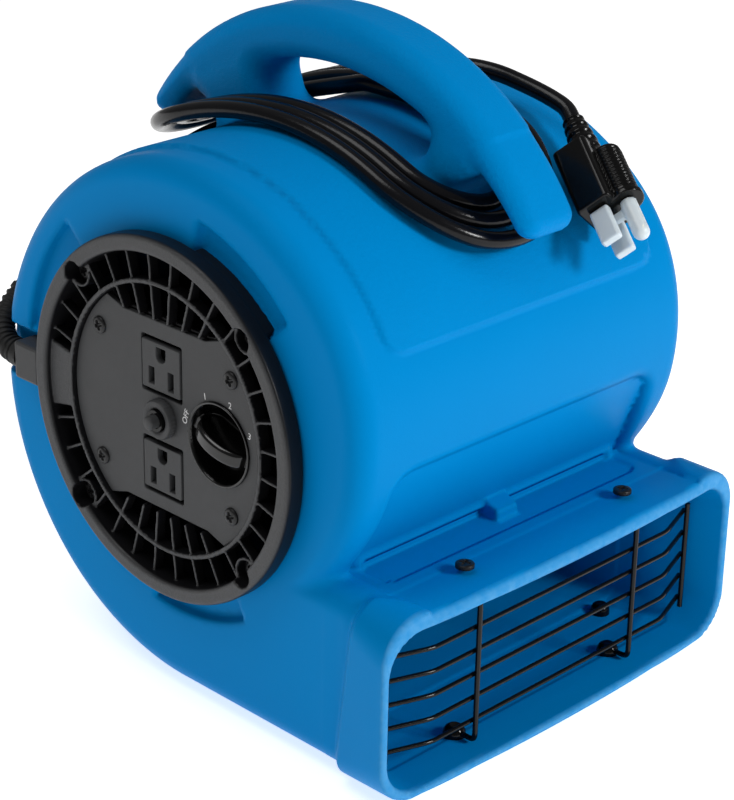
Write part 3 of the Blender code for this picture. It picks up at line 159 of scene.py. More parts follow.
bpy.context.scene.view_settings.view_transform = "Standard"
room = bpy.data.worlds.new("studio")
room.use_nodes = True
backdrop = room.node_tree.nodes["Background"].inputs
backdrop["Color"].default_value = WHITE
backdrop["Strength"].default_value = ROOM_LIGHT
bpy.context.scene.world = room
for name, (where, size, watts) in LAMPS.items():
    light = bpy.data.lights.new(name, "AREA")
    light.size = size
    light.energy = watts
    lamp = placed(name, light)
    lamp.location = where
    lamp.rotation_mode = "QUATERNION"
    lamp.rotation_quaternion = (Vector(where) - LAMPS_AIM).to_track_quat("Z", "Y")


# Housing
# One hollow blow moulding in blue polyethylene: snail scroll, flared outlet and carrying handle, with
# a stippled band over the top. Its field is a distance in millimetres, joined from plain shapes.
MM = 0.001
AXIS = np.array([0.0, 10.5, 143.0])
SCROLL_RADII = np.array([108, 119.3, 126.8, 123.5, 120, 119, 122, 128, 133, 137, 139.0])
SIDE_HALF, EDGE_ROUND = 111.0, 11.5
WALL, SIDE_WALL, ROOF, TONGUE = 5.2, 7.0, 6.5, 11.0
BASE, DUCT_TOP = -139.0, -49.0
MOUTH_Y, MOUTH_BOW, MOUTH_HALF, MOUTH_TOP = -147.0, 5.0, 122.5, -46.5
MOUTH_LIP, MOUTH_TOP_LIP = 4.5, 9.0
BAND_HALF, BAND_RISE, BAND_FROM, BAND_TO = 89.0, 2.0, 26.5, 158.0
SCOOP_HALF, SCOOP_TOP, SCOOP_AT = 86.0, 1.0, (-115.7, -3.0)
SCOOP_FACING = (-0.907, -0.422)
HANDLE_HALF, HANDLE_TOP, HANDLE_FALL, HANDLE_EDGE = 18.0, 170.1, 6.2, 10.0
GRIP_UNDER, HORN_UNDER = 146.0, 149.5
HORNS, FRONT_POST, REAR_POST = (37.0, 140.8), (53.6, 63.0), (109.5, 127.3)
POST_FOOT, POST_TOP, POST_FILLET = 95.0, 156.0, 13.0
COLLAR_BACK, COLLAR_STEP, COLLAR_CORNER = 107.0, 5.4, 12.0
BEAD_AT, BEAD_HALF, BEAD_RADIUS = (-94.6, -47.2), 86.0, 3.2
CHANNEL_AT, CHANNEL_HALF, CHANNEL_DEPTH = -105.0, (87.0, 9.5), 2.2
TAB_AT, TAB_HALF, TAB_FRONT, TAB_BACK, TAB_SLOPE = 1.8, 7.6, -106.0, -90.0, 0.35
NOTCH_DEPTH, NOTCH_FROM, NOTCH_AT, NOTCH_HALF = 6.0, 80.0, -1.5, 12.5
BEND_X, BEND_FROM, BEND_AT, BEND_HALF = -102.2, 121.0, 0.5, 14.5
INLET_RADIUS = 82.0
POCKETS = ((42.0, 79.0, 99.0), (135.0, 172.0, 104.0), (262.0, 298.0, 98.0))
POCKET_DEPTH, GLAND_PAD = 4.5, 5.0


def in_row(points):
    """Points in millimetres about the fan axis, put into the row frame in metres."""
    return (np.asarray(points, float) + AXIS) * MM


def step(low, high, value):
    """Smooth step from 0 at low to 1 at high."""
    t = np.clip((value - low) / (high - low), 0.0, 1.0)
    return t * t * (3 - 2 * t)


def span(value, low, high):
    """Distance outside a stretch between two values."""
    return np.abs(value - (low + high) / 2) - (high - low) / 2


def joined(a, b, fillet):
    """Soft union of two distances."""
    h = np.clip(0.5 + 0.5 * (b - a) / fillet, 0.0, 1.0)
    return b + (a - b) * h - fillet * h * (1 - h)


def without(a, b, fillet):
    """A distance with another's inside taken away, the edge softened."""
    return -joined(-a, b, fillet)


def meet(*distances):
    """Sharp intersection of distances."""
    return reduce(np.maximum, distances)


def rounded(a, b, radius):
    """Intersection of two distances whose shared edge has a round of that radius."""
    u, v = a + radius, b + radius
    return np.hypot(np.maximum(u, 0), np.maximum(v, 0)) + np.minimum(np.maximum(u, v), 0) - radius


def through(knots, position):
    """Catmull-Rom curve through knots, read at places counted in knots from the first."""
    last = len(knots) - 1
    index = np.clip(position.astype(int), 0, last - 1)
    t = (position - index).reshape(position.shape + (1,) * (knots.ndim - 1))
    a, b, c, d = (knots[np.clip(index + k, 0, last)] for k in (-1, 0, 1, 2))
    return b + 0.5 * t * (c - a + t * (2 * a - 5 * b + 4 * c - d + t * (3 * (b - c) + d - a)))


def scroll_radius(degrees):
    """The scroll's radius at an angle; one is given every 30 degrees from 30 below the front."""
    return through(SCROLL_RADII, np.clip((degrees + 30.0) / 30.0, 0.0, len(SCROLL_RADII) - 1.0))


def around_axis(y, z):
    """Radius and angle about the fan axis; the front is 0, the top 90 and the base 270."""
    degrees = np.degrees(np.arctan2(z, -y))
    return np.hypot(y, z), np.where(degrees < -90.0, degrees + 360.0, degrees)


def sector(radius, degrees, start, end, low, high, corner=0.0):
    """Distance to a ring sector between two angles and two radii, with corners of that radius."""
    middle, reach = (start + end) / 2, np.radians((end - start) / 2)
    turn = np.radians(np.abs((degrees - middle + 180.0) % 360.0 - 180.0)) - reach
    return rounded(meet(low - radius, radius - high), np.sin(np.clip(turn, -1.5, 1.5)) * radius, corner)


def handle_field(x, radius, degrees):
    """Arch over two posts, a horn past each; the finger opening is left between the posts."""
    top = HANDLE_TOP - HANDLE_FALL * ((degrees - 90.0) / 45.0) ** 2
    arch = sector(radius, degrees, *HORNS, HORN_UNDER, top, 7.0)
    bow = sector(radius, degrees, FRONT_POST[0], REAR_POST[1], GRIP_UNDER, top)
    side = joined(arch, bow, 4.0)
    for post in (FRONT_POST, REAR_POST):
        side = joined(side, sector(radius, degrees, *post, POST_FOOT, POST_TOP), POST_FILLET)
    return rounded(side, np.abs(x) - HANDLE_HALF, HANDLE_EDGE)


def collar_field(x, y, z):
    """Outlet collar: a round-cornered section that steps out of the duct and flares to the bowed mouth."""
    ahead = -y
    rear = COLLAR_BACK + 12.0 * (z - BASE) / (DUCT_TOP - BASE)
    stepped = step(rear - 2.0, rear + 6.0, ahead)
    flare = np.clip((ahead - 108.0) / (-MOUTH_Y - 108.0), 0.0, 1.2)
    half = SIDE_HALF - 1.2 + COLLAR_STEP * stepped + (MOUTH_HALF - SIDE_HALF + 1.2 - COLLAR_STEP) * flare
    roof = DUCT_TOP - 0.6 + 3.0 * step(117.0, 125.0 + 18.0 * step(106.0, 92.0, np.abs(x)), ahead)
    low = BASE + 0.4 - 1.6 * stepped + 1.4 * flare
    section = rounded(np.abs(x) - half, span(z, low, roof), COLLAR_CORNER + 10.0 * flare)
    front = MOUTH_Y - MOUTH_BOW * (1 - (x / MOUTH_HALF) ** 2) - y
    return rounded(section, meet(front, y + 98.0), 2.0)


def cavity_field(x, y, z, radius, degrees):
    """Hollow for the wheel, the duct behind the outlet and the throat that opens to the mouth."""
    # The wall is thicker at the tongue, and behind the notch for the cord gland
    tongue = TONGUE * np.maximum(0.0, 1 - np.maximum(degrees, 0.0) / 45.0) ** 2
    pad = GLAND_PAD * step(60.0, 76.0, y) * step(34.0, 22.0, np.abs(z)) * step(-60.0, -84.0, x)
    inner = scroll_radius(degrees) - WALL - tongue - pad
    duct = meet(y - 5.0, MOUTH_Y + 20 - y, z - DUCT_TOP + ROOF, BASE + WALL - z)
    hollow = rounded(joined(radius - inner, duct, 6.0), np.abs(x) - SIDE_HALF + SIDE_WALL + pad, 7.0)
    flare = np.clip((-y - 107.0) / (-MOUTH_Y - 107.0), 0.0, 2.0)
    half = SIDE_HALF - SIDE_WALL + (MOUTH_HALF - MOUTH_LIP - SIDE_HALF + SIDE_WALL) * flare
    roof = DUCT_TOP - ROOF + (MOUTH_TOP - MOUTH_TOP_LIP - DUCT_TOP + ROOF) * flare
    low = BASE + WALL + (MOUTH_LIP - WALL) * flare
    section = rounded(np.abs(x) - half, span(z, low, roof), 11.0 + 8.0 * flare)
    return joined(hollow, meet(section, y + 95.0), 4.0)


def band_mask(x, degrees):
    """1 on the raised band across the top of the scroll, 0 off it, with round corners."""
    middle, reach = (BAND_FROM + BAND_TO) / 2, np.radians(BAND_TO - BAND_FROM) / 2 * 123.0
    u = np.radians(np.abs(degrees - middle)) * 123.0 - reach
    return step(1.5, -1.5, rounded(u, np.abs(x) - BAND_HALF, 10.0))


def housing_field(x, y, z):
    """Signed distance to the whole moulding at points in millimetres about the fan axis."""
    radius, degrees = around_axis(y, z)
    scroll = radius - scroll_radius(degrees) + 0.4 * np.maximum(-30.0 - degrees, 0.0)
    under = BASE + np.maximum(y, 0.0) ** 2 / 200.0
    duct = meet(y - 25.0, MOUTH_Y + 24.0 - y, z - DUCT_TOP, under - z)
    fillet = 0.05 + 6.95 * step(-120.0, -85.0, z)
    body = rounded(joined(scroll, duct, fillet), np.abs(x) - SIDE_HALF, EDGE_ROUND)
    body = body - BAND_RISE * band_mask(x, degrees)
    body = joined(body, collar_field(x, y, z), 2.5)
    # Scoop: a slanted flat let in under the front lip, down to the outlet
    half = SCOOP_HALF + 6.0 * np.clip(-z / 45.0, 0.0, 1.0)
    scoop = rounded(np.abs(x) - half, z - SCOOP_TOP, 10.0)
    flat = SCOOP_FACING[0] * (y - SCOOP_AT[0]) + SCOOP_FACING[1] * (z - SCOOP_AT[1])
    body = without(body, meet(scoop, -flat, DUCT_TOP + 1.2 - z, y + 80.0), 7.0)
    # Bead along the foot of the scoop, a shallow channel before it, and the tab that crosses both
    past_end = np.maximum(np.abs(x) - BEAD_HALF, 0.0)
    bead = np.hypot(np.hypot(y - BEAD_AT[0], z - BEAD_AT[1]), past_end) - BEAD_RADIUS
    body = joined(body, bead, 3.0)
    channel = rounded(np.abs(x) - CHANNEL_HALF[0], np.abs(y - CHANNEL_AT) - CHANNEL_HALF[1], 5.0)
    channel = rounded(channel, DUCT_TOP - CHANNEL_DEPTH - z, 1.0)
    body = without(body, meet(channel, z - DUCT_TOP - 1.6), 1.4)
    crest = z + 42.5 - TAB_SLOPE * (y + 98.0)
    tab = rounded(np.abs(x - TAB_AT) - TAB_HALF, meet(TAB_FRONT - y, crest), 1.5)
    body = joined(body, meet(tab, y - TAB_BACK, DUCT_TOP - 3.0 - z), 1.5)
    body = joined(body, handle_field(x, radius, degrees), 10.0)
    body = without(body, cavity_field(x, y, z, radius, degrees), 2.2)
    body = meet(body, -meet(radius - INLET_RADIUS, 90.0 - np.abs(x)))
    # Hollows in the side walls beside the ring
    for start, end, outer in POCKETS:
        hollow = sector(radius, degrees, start, end, 85.0, outer)
        body = without(body, rounded(hollow, SIDE_HALF - POCKET_DEPTH - np.abs(x), 3.0), 3.5)
    # Notch for the cord gland at the rear of the control side, deeper where the cord bends
    notch = meet(NOTCH_FROM - y, np.abs(z - NOTCH_AT) - NOTCH_HALF, x + SIDE_HALF - NOTCH_DEPTH)
    bend = meet(BEND_FROM - y, np.abs(z - BEND_AT) - BEND_HALF, x - BEND_X)
    return without(without(body, notch, 1.5), bend, 2.0)


def gradient(field, points, reach=0.25):
    """Slope of a field by central differences, and its value."""
    rise = [field(*(points + way).T) - field(*(points - way).T) for way in reach * np.eye(3)]
    return np.stack(rise, axis=1) / (2 * reach), field(*points.T)


def skin_of(field, *lines):
    """Surface net of a field on a grid: a point in each crossed cell, a quad on each crossed edge.

    The points then move along the field's slope until its value is zero. Returns points, quads, normals.
    """
    xs, ys, zs = lines
    values = np.concatenate([field(part[:, None, None], ys[:, None], zs)
                             for part in np.array_split(xs, max(len(xs) // 12, 1))])
    inside = values < 0
    corners = [(i, j, k) for i in (0, 1) for j in (0, 1) for k in (0, 1)]
    shape = np.array(values.shape) - 1
    count = sum(inside[i:shape[0] + i, j:shape[1] + j, k:shape[2] + k].astype(np.int8) for i, j, k in corners)
    cells = np.argwhere((count > 0) & (count < 8))
    number = np.full(shape, -1, np.int32)
    number[tuple(cells.T)] = np.arange(len(cells))
    total, hits = np.zeros((len(cells), 3)), np.zeros((len(cells), 1))
    for a in corners:
        for b in (tuple(np.add(a, way)) for way in np.eye(3, dtype=int)):
            if max(b) > 1:
                continue
            ia, ib = cells + a, cells + b
            va, vb = values[tuple(ia.T)], values[tuple(ib.T)]
            crossed = ((va < 0) != (vb < 0))[:, None]
            t = (va / np.where(va == vb, 1.0, va - vb))[:, None]
            pa, pb = (np.stack([lines[k][i[:, k]] for k in range(3)], axis=1) for i in (ia, ib))
            total += np.where(crossed, pa + (pb - pa) * t, 0.0)
            hits += crossed
    points = total / hits
    quads = []
    for axis in range(3):
        u, v = (axis + 1) % 3, (axis + 2) % 3
        low, high = [slice(1, -1)] * 3, [slice(1, -1)] * 3
        low[axis], high[axis] = slice(0, -1), slice(1, None)
        before, after = inside[tuple(low)], inside[tuple(high)]
        for edge, order in ((before & ~after, 1), (after & ~before, -1)):
            at = np.argwhere(edge) + 1
            at[:, axis] -= 1
            ring = []
            for du, dv in ((1, 1), (0, 1), (0, 0), (1, 0)):
                cell = at.copy()
                cell[:, u] -= du
                cell[:, v] -= dv
                ring.append(number[tuple(cell.T)])
            quads.append(np.stack(ring, axis=1)[:, ::order])
    for _ in range(4):
        slope, value = gradient(field, points)
        points -= np.clip(value[:, None] * slope / np.maximum((slope ** 2).sum(1), 0.2)[:, None], -0.7, 0.7)
    slope, _ = gradient(field, points)
    length = np.maximum(np.linalg.norm(slope, axis=1), 1e-6)[:, None]
    return points, np.concatenate(quads).tolist(), slope / length


def new_piece(name, points, faces, material, body, stands_for=(), normals=None, sharp=None):
    """A mesh piece from points in metres and lists of faces; it rides on a body, for CAD nodes."""
    mesh = bpy.data.meshes.new(name)
    mesh.from_pydata(points.tolist(), [], faces)
    mesh.shade_smooth()
    if sharp:
        mesh.set_sharp_from_angle(angle=math.radians(sharp))
    if normals is not None:
        mesh.normals_split_custom_set_from_vertices(normals.tolist())
    return show(name, mesh, material, body, stands_for)


def show(name, data, material, body, stands_for=()):
    """Put a mesh or curve in the scene as a piece that rides on a body and stands for CAD nodes."""
    data.materials.clear()
    data.materials.append(material)
    obj = placed(name, data)
    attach(obj, body)
    if stands_for:
        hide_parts(*stands_for)
    return obj


def mark(obj, name, values):
    """Keep a number for each point of a piece, for its material to read."""
    kept = obj.data.attributes.new(name, "FLOAT", "POINT")
    kept.data.foreach_set("value", values.astype(np.float32))


def spaced(*spans):
    """Grid lines; each span is a start, an end and the spacing between them."""
    return np.concatenate([np.arange(*span) for span in spans])


poly, shade, shader = finish("blue_polyethylene", Specular_IOR_Level=0.035,
                             Specular_Tint=(0.1, 0.5, 1.0, 1.0))
stipple = shade.node("ShaderNodeAttribute", {"attribute_name": "band"}, output=2)
blue = mixed(shade, noise(shade, 9.0, 4.0), (0.0, 0.2, 0.51), (0.0, 0.222, 0.565))
rim = shade.node("ShaderNodeAttribute", {"attribute_name": "rim"}, output=2)
grain = noise(shade, 1500.0, 2.0) * (stipple * 0.6 + 0.4) + noise(shade, 520.0, 1.0) * stipple
feed(shade, shader,
     Base_Color=mixed(shade, rim * noise(shade, 260.0, 4.0) * 0.6, blue, (0.16, 0.42, 0.68)),
     Roughness=noise(shade, 140.0) * 0.12 + 0.33 + stipple * 0.06,
     Normal=bumped(shade, grain, 0.00018))
points, quads, normals = skin_of(
    housing_field,
    spaced((-124.8, -104.0, 1.6), (-104.0, -84.0, 2.5), (-84.0, -24.0, 6.0), (-24.0, 24.0, 2.4),
           (24.0, 84.0, 6.0), (84.0, 104.0, 2.5), (104.0, 126.4, 1.6)),
    spaced((-156.0, -88.0, 2.0), (-88.0, 142.0, 2.5)), spaced((-144.0, 178.0, 2.5)))
shell = new_piece("housing_shell", in_row(points), quads, poly, "base", ["housing"], normals)
radius, degrees = around_axis(points[:, 1], points[:, 2])
mark(shell, "band", band_mask(points[:, 0], degrees) * (radius > 116))
lip = points[:, 1] - MOUTH_Y + MOUTH_BOW * (1 - (points[:, 0] / MOUTH_HALF) ** 2)
mark(shell, "rim", step(2.5, 0.4, lip))


# Inlet grilles
# Two glass-filled nylon mouldings in charcoal grey, screwed to the side walls: a rounded rim with four
# screw wells and a skirt into the inlet, and thin spokes. The control side's carries the panel.
RING_INNER, RING_OUTER, RING_BACK, RING_FACE = 79.2, 87.4, 111.3, 121.5
LUG_CIRCLE, BOSS_BACK = 79.5, 104.0
WELL_RADIUS, BOSS_RADIUS, WELL_FLOOR = 5.8, 7.2, 112.5
# The near skirt reaches deep into the inlet as a sleeve painted near black, standing in for the shade inside.
SKIRT_BACK, NEAR_THROAT, FAR_THROAT = 106.9, 40.0, 96.0
HUB_INNER, HUB_OUTER, HUB_FRONT = 63.9, 66.3, 117.9
SPOKE_FRONT, SPOKE_HALF, SPOKE_END, CORD_BLOCK = 117.2, 0.7, 81.0, (168.0, 192.0)
PANEL_RADIUS, PANEL_FLAT, PANEL_FLAT_HALF, PANEL_RISE = 64.0, 46.8, 28.0, 0.313


def panel_edge(y, z):
    """Distance to the control panel's outline: a circle with a flat top and bottom and raised shoulders."""
    flat = np.abs(z) - PANEL_FLAT - PANEL_RISE * np.maximum(np.abs(y) - PANEL_FLAT_HALF, 0.0)
    return meet(np.hypot(y, z) - PANEL_RADIUS, 0.95 * flat)


def rim_field(s, radius, degrees, middle, throat_back):
    """Rim and screw bosses joined to what they hold in the middle, with the screw wells sunk in."""
    turn = np.radians(np.abs((degrees % 90.0) - 45.0))
    lug = np.sqrt(np.maximum(radius ** 2 + LUG_CIRCLE ** 2 - 2 * radius * LUG_CIRCLE * np.cos(turn), 0.0))
    rim = rounded(span(radius, RING_INNER, RING_OUTER), span(s, RING_BACK, RING_FACE), 2.2)
    for start, end, _ in POCKETS:
        skirt = sector(radius, degrees, start + 1.0, end - 1.0, RING_OUTER - 3.0, RING_OUTER - 0.2)
        rim = np.minimum(rim, meet(skirt, span(s, SKIRT_BACK, RING_FACE - 6.0)))
    throat = meet(span(radius, RING_INNER, RING_INNER + 1.9), span(s, throat_back, RING_FACE - 4.0))
    rim = np.minimum(rim, throat)
    boss = rounded(lug - BOSS_RADIUS, span(s, BOSS_BACK, SPOKE_FRONT + 0.4), 0.5)
    well = meet(lug - WELL_RADIUS, WELL_FLOOR - s)
    return without(joined(joined(rim, middle, 0.8), boss, 0.8), well, 0.8)


def spoke_field(s, radius, degrees, pitch):
    """Thin radial ribs, one every so many degrees, the first half a step from the front."""
    turn = np.radians(degrees % pitch - pitch / 2)
    return rounded(np.abs(radius * np.sin(turn)) - SPOKE_HALF, span(s, RING_BACK + 0.4, SPOKE_FRONT), 0.4)


def control_grille_field(x, y, z):
    """Signed distance to the grille of the control side."""
    s = -x
    radius, degrees = around_axis(y, z)
    hub = rounded(span(radius, HUB_INNER, HUB_OUTER), span(s, RING_BACK, HUB_FRONT), 0.6)
    edge = panel_edge(y, z)
    ribs = meet(spoke_field(s, radius, degrees, 11.25), 0.7 - edge, radius - SPOKE_END)
    seat = meet(np.abs(edge + 1.2) - 2.0, span(s, RING_BACK - 1.6, RING_BACK + 1.0))
    block = sector(radius, degrees, *CORD_BLOCK, HUB_OUTER - 1.0, SPOKE_END)
    block = rounded(block, span(s, RING_BACK + 0.3, HUB_FRONT - 0.1), 1.0)
    middle = joined(joined(joined(hub, ribs, 0.6), block, 1.0), seat, 0.3)
    return rim_field(s, radius, degrees, middle, NEAR_THROAT)


def far_grille_field(x, y, z):
    """Signed distance to the plain grille of the far side."""
    radius, degrees = around_axis(y, z)
    ring = rounded(span(radius, 48.0, 50.0), span(x, RING_BACK, HUB_FRONT), 0.5)
    cap = rounded(radius - 18.0, span(x, RING_BACK, SPOKE_FRONT + 1.5), 2.0)
    ribs = meet(spoke_field(x, radius, degrees + 15.0, 30.0), radius - SPOKE_END)
    return rim_field(x, radius, degrees, joined(joined(ring, ribs, 0.6), cap, 1.0), FAR_THROAT)


def grille(name, field, xs, across, node):
    """A grille's skin; its stippled front is told from its polished sides by the way the points face, and the
    sides and depths get painted shade.
    """
    points, quads, normals = skin_of(field, xs, across, across)
    made = new_piece(name, in_row(points), quads, stippled, "base", [node], normals)
    # Painted shade: points that do not face out, or lie deeper than the face, are coloured near black.
    mark(made, "front", step(0.5, 0.9, np.abs(normals[:, 0])) * step(112.5, 115.5, np.abs(points[:, 0])))


def mottled(name, colours, rough, grain=None, **sockets):
    """A finish that drifts between two colours and two roughnesses, with a fine grain if wanted.

    Each starts with its cells per metre; rough has a least value and a spread, grain a depth in metres.
    """
    made, shade, shader = finish(name, **sockets)
    feed(shade, shader, Base_Color=mixed(shade, noise(shade, colours[0]), *colours[1:]),
         Roughness=noise(shade, rough[0]) * rough[2] + rough[1])
    if grain:
        feed(shade, shader, Normal=bumped(shade, noise(shade, grain[0], 2.0), grain[1]))
    return made


nylon = mottled("charcoal_nylon", (40.0, (0.041, 0.042, 0.044), (0.054, 0.055, 0.057)), (300.0, 0.4, 0.14),
                (2200.0, 0.00012), Specular_IOR_Level=0.22)
# Faces turned out are grey; the sides and all deep inside are painted near black as the shade there.
stippled, shade, shader = finish("stippled_nylon_painted_shade", Specular_IOR_Level=0.24)
front = shade.node("ShaderNodeAttribute", {"attribute_name": "front"}, output=2)
grey = mixed(shade, noise(shade, 900.0), (0.046, 0.047, 0.049), (0.082, 0.083, 0.086))
feed(shade, shader,
     Base_Color=mixed(shade, front, (0.006, 0.006, 0.007), grey),
     Roughness=noise(shade, 300.0) * 0.14 + 0.3 + front * 0.15,
     Normal=bumped(shade, noise(shade, 1600.0, 2.0) * front, 0.00022))
grille("control_grille_moulding", control_grille_field, spaced((-122.4, -108.0, 0.9), (-108.0, -34.0, 6.0)),
       np.arange(-89.0, 89.6, 0.95), "control_grille")
grille("far_grille_moulding", far_grille_field, spaced((92.0, 108.0, 2.0), (108.0, 123.0, 0.95)),
       np.arange(-89.0, 89.8, 1.05), "far_grille")


# Screws
# Black zinc pan-head screws with a cross recess: four hold each grille at the bottom of its wells, four
# the panel, and two the outlet guard under the duct's roof.
SCREW_RINGS = np.array([1.0, 1.0, 0.96, 0.8, 0.62, 0.5, 0.38, 0.24, 0.06])
SCREW_RISE = np.array([-0.8, 0.35, 0.6, 0.85, 0.96, 1.0, 1.0, 1.0, 1.0])


def turns(count):
    """Angles spread evenly over a full turn."""
    return np.linspace(0.0, 2 * np.pi, count, endpoint=False)


def screw_head(centre, facing, radius, height, recess=0.75):
    """Dome of rings and angles: rings give the radius and rise, and a cross with four arms is sunk in it.

    Points are centre + side * r cos a + up * r sin a + facing * h(r, a).
    """
    facing = np.asarray(facing, float)
    side = np.array([0.0, 1.0, 0.0])
    up = np.cross(facing, side)
    angle = turns(32) + 0.4
    r = radius * SCREW_RINGS[:, None]
    u, v = r * np.cos(angle - 0.4), r * np.sin(angle - 0.4)
    arm = np.minimum(np.abs(u), np.abs(v)) / radius
    cross = step(0.2, 0.1, arm) * step(0.66, 0.5, SCREW_RINGS)[:, None]
    rise = height * (SCREW_RISE[:, None] - recess * cross)
    ring = side * (r * np.cos(angle))[..., None] + up * (r * np.sin(angle))[..., None]
    return np.asarray(centre) + ring + facing * rise[..., None]


def grid_faces(rows, columns):
    """Faces of a grid of points joined round in its second direction, with a flat face at each end."""
    index = np.arange(rows * columns).reshape(rows, columns)
    index = np.hstack([index, index[:, :1]])
    quads = np.stack([index[:-1, :-1], index[:-1, 1:], index[1:, 1:], index[1:, :-1]], axis=-1).reshape(-1, 4)
    return quads.tolist() + [index[0, :-1][::-1].tolist(), index[-1, :-1].tolist()]


def from_grid(name, grid, material, body, node, sharp):
    """A closed piece from a grid of points in millimetres, with edges past an angle left sharp."""
    return new_piece(name, in_row(grid.reshape(-1, 3)), grid_faces(*grid.shape[:2]), material, body,
                     [node], sharp=sharp)


zinc = mottled("black_zinc", (500.0, (0.004, 0.004, 0.004), (0.012, 0.012, 0.013)), (900.0, 0.25, 0.2),
               Specular_IOR_Level=0.3)
lug = LUG_CIRCLE * math.sqrt(0.5)
heads = {}
for number, (y, z) in enumerate(((-lug, lug), (lug, lug), (lug, -lug), (-lug, -lug)), 1):
    heads["control_grille_screw_%d" % number] = ((-WELL_FLOOR, y, z), (-1, 0, 0), 4.4, 2.4)
    heads["far_grille_screw_%d" % number] = ((WELL_FLOOR, y, z), (1, 0, 0), 4.4, 2.4)
for number, (y, z) in enumerate(((-44.7, -33.0), (-44.7, 33.0), (44.7, -33.0), (44.7, 33.0)), 1):
    heads["panel_screw_%d" % number] = ((-115.3, y, z), (-1, 0, 0), 4.2, 1.5)
for number, x in enumerate((-55.0, 55.0), 1):
    heads["guard_screw_%d" % number] = ((x, -131.0, -45.9), (0, 0, 1), 4.4, 1.3)
for name, head in heads.items():
    from_grid(name + "_head", screw_head(*head), zinc, "base", name, 38)


# Control panel
# A flat injection-moulded cover in the same charcoal, held by four screws, with holes for the outlets,
# the breaker and the switch shaft. The positions of the switch are printed on it in white.
PANEL_FACE, PANEL_THICK = 115.3, 2.5
OUTLETS = {"socket_upper": (1.8, 24.3), "socket_lower": (1.8, -25.7)}
OUTLET_OPENING = (13.75, 13.8)
BREAKER, KNOB = (1.5, 0.0), (-36.5, -0.5)
PRINT_SIZE = 4.3
PRINTED = {"OFF": (164.0, 23.0, 73.0), "1": (114.3, 22.2, 10.0), "2": (70.7, 22.2, 0.0),
           "3": (27.6, 22.4, -8.0)}


def arc_outline(y, z, radius, angle):
    """Points on a circle at given angles."""
    return np.stack([y + radius * np.cos(angle), z + radius * np.sin(angle)], axis=1)


def box_outline(y, z, half, corner):
    """Rectangle of two half sizes with round corners."""
    angle = np.radians(np.arange(0, 360, 15.0))
    return np.stack([y + (half[0] - corner) * np.sign(np.cos(angle + 1e-3)) + corner * np.cos(angle),
                     z + (half[1] - corner) * np.sign(np.sin(angle + 1e-3)) + corner * np.sin(angle)], axis=1)


def mesh_of(curve):
    """The mesh that a curve or text gives, and nothing left behind."""
    holder = placed("holder", curve)
    made = bpy.data.meshes.new_from_object(holder.evaluated_get(bpy.context.evaluated_depsgraph_get()))
    bpy.data.objects.remove(holder)
    return made


def turn_mesh(mesh, origin, first, second, third):
    """Lay a mesh's own three directions along given ones, in millimetres about the fan axis."""
    flat = np.empty(len(mesh.vertices) * 3, np.float32)
    mesh.vertices.foreach_get("co", flat)
    moved = flat.reshape(-1, 3) @ np.array([first, second, third], float) + origin
    mesh.vertices.foreach_set("co", in_row(moved).astype(np.float32).ravel())
    mesh.update()
    return mesh


def plate(outlines, face, thick, edge):
    """Flat plate facing -X inside the first outline of (y, z), less the others, with bevelled edges."""
    flat = bpy.data.curves.new("plate", "CURVE")
    flat.dimensions = "2D"
    flat.fill_mode = "BOTH"
    flat.extrude = thick / 2 - edge
    flat.bevel_depth = edge
    flat.bevel_resolution = 1
    flat.offset = -edge
    for outline in outlines:
        line = flat.splines.new("POLY")
        line.points.add(len(outline) - 1)
        co = np.zeros((len(outline), 4), np.float32)
        co[:, :2] = outline
        line.points.foreach_set("co", co.ravel())
        line.use_cyclic_u = True
    mesh = turn_mesh(mesh_of(flat), (-face + thick / 2, 0, 0), (0, 1, 0), (0, 0, 1), (1, 0, 0))
    mesh.shade_smooth()
    mesh.set_sharp_from_angle(angle=math.radians(30))
    return mesh


shoulder = math.atan2(PANEL_FLAT + PANEL_RISE * 11.5, 39.5)
right = arc_outline(0.0, 0.0, PANEL_RADIUS - 0.4, np.linspace(-shoulder, shoulder, 40))
flats = np.array([(PANEL_FLAT_HALF, PANEL_FLAT - 0.4), (-PANEL_FLAT_HALF, PANEL_FLAT - 0.4)])
openings = [box_outline(y, z, OUTLET_OPENING, 1.2) for y, z in OUTLETS.values()]
openings += [arc_outline(*BREAKER, 5.8, turns(24)), arc_outline(*KNOB, 19.7, turns(48))]
cover = plate([np.concatenate([right, flats, -right, -flats])] + openings, PANEL_FACE, PANEL_THICK, 0.45)
show("control_panel_plate", cover, nylon, "base", ["control_panel"])

ink, shade, shader = finish("white_print", Roughness=0.5)
feed(shade, shader, Base_Color=mixed(shade, noise(shade, 900.0), (0.6, 0.6, 0.6), (0.75, 0.75, 0.75)))
for text, (where, reach, lean) in PRINTED.items():
    word = bpy.data.curves.new("word", "FONT")
    word.body = text
    word.size = PRINT_SIZE
    word.align_x = word.align_y = "CENTER"
    word.extrude = 0.02
    where, lean = math.radians(where), math.radians(lean)
    origin = (-PANEL_FACE - 0.03, KNOB[0] - reach * math.cos(where), KNOB[1] + reach * math.sin(where))
    letters = turn_mesh(mesh_of(word), origin, (0, -math.cos(lean), math.sin(lean)),
                        (0, math.sin(lean), math.cos(lean)), (-1, 0, 0))
    show("printed_" + text.lower(), letters, ink, "base")


# Power outlets
# Two three-slot outlets moulded in charcoal thermoplastic, snapped into the panel from the front. Each has
# a U-shaped ground hole over two blade slots; a black sheet behind its edge is painted shade in the groove.
OUTLET_FACE, OUTLET_SHADE_BACKING = (12.9, 11.7), (14.8, 14.8)
SLOTS = ((-6.6, 9.2), (6.5, 8.2))
SLOT_HALF, SLOT_Z, GROUND_HALF, GROUND_TOP, GROUND_LOW = 1.9, -5.0, 3.2, 9.6, 5.8

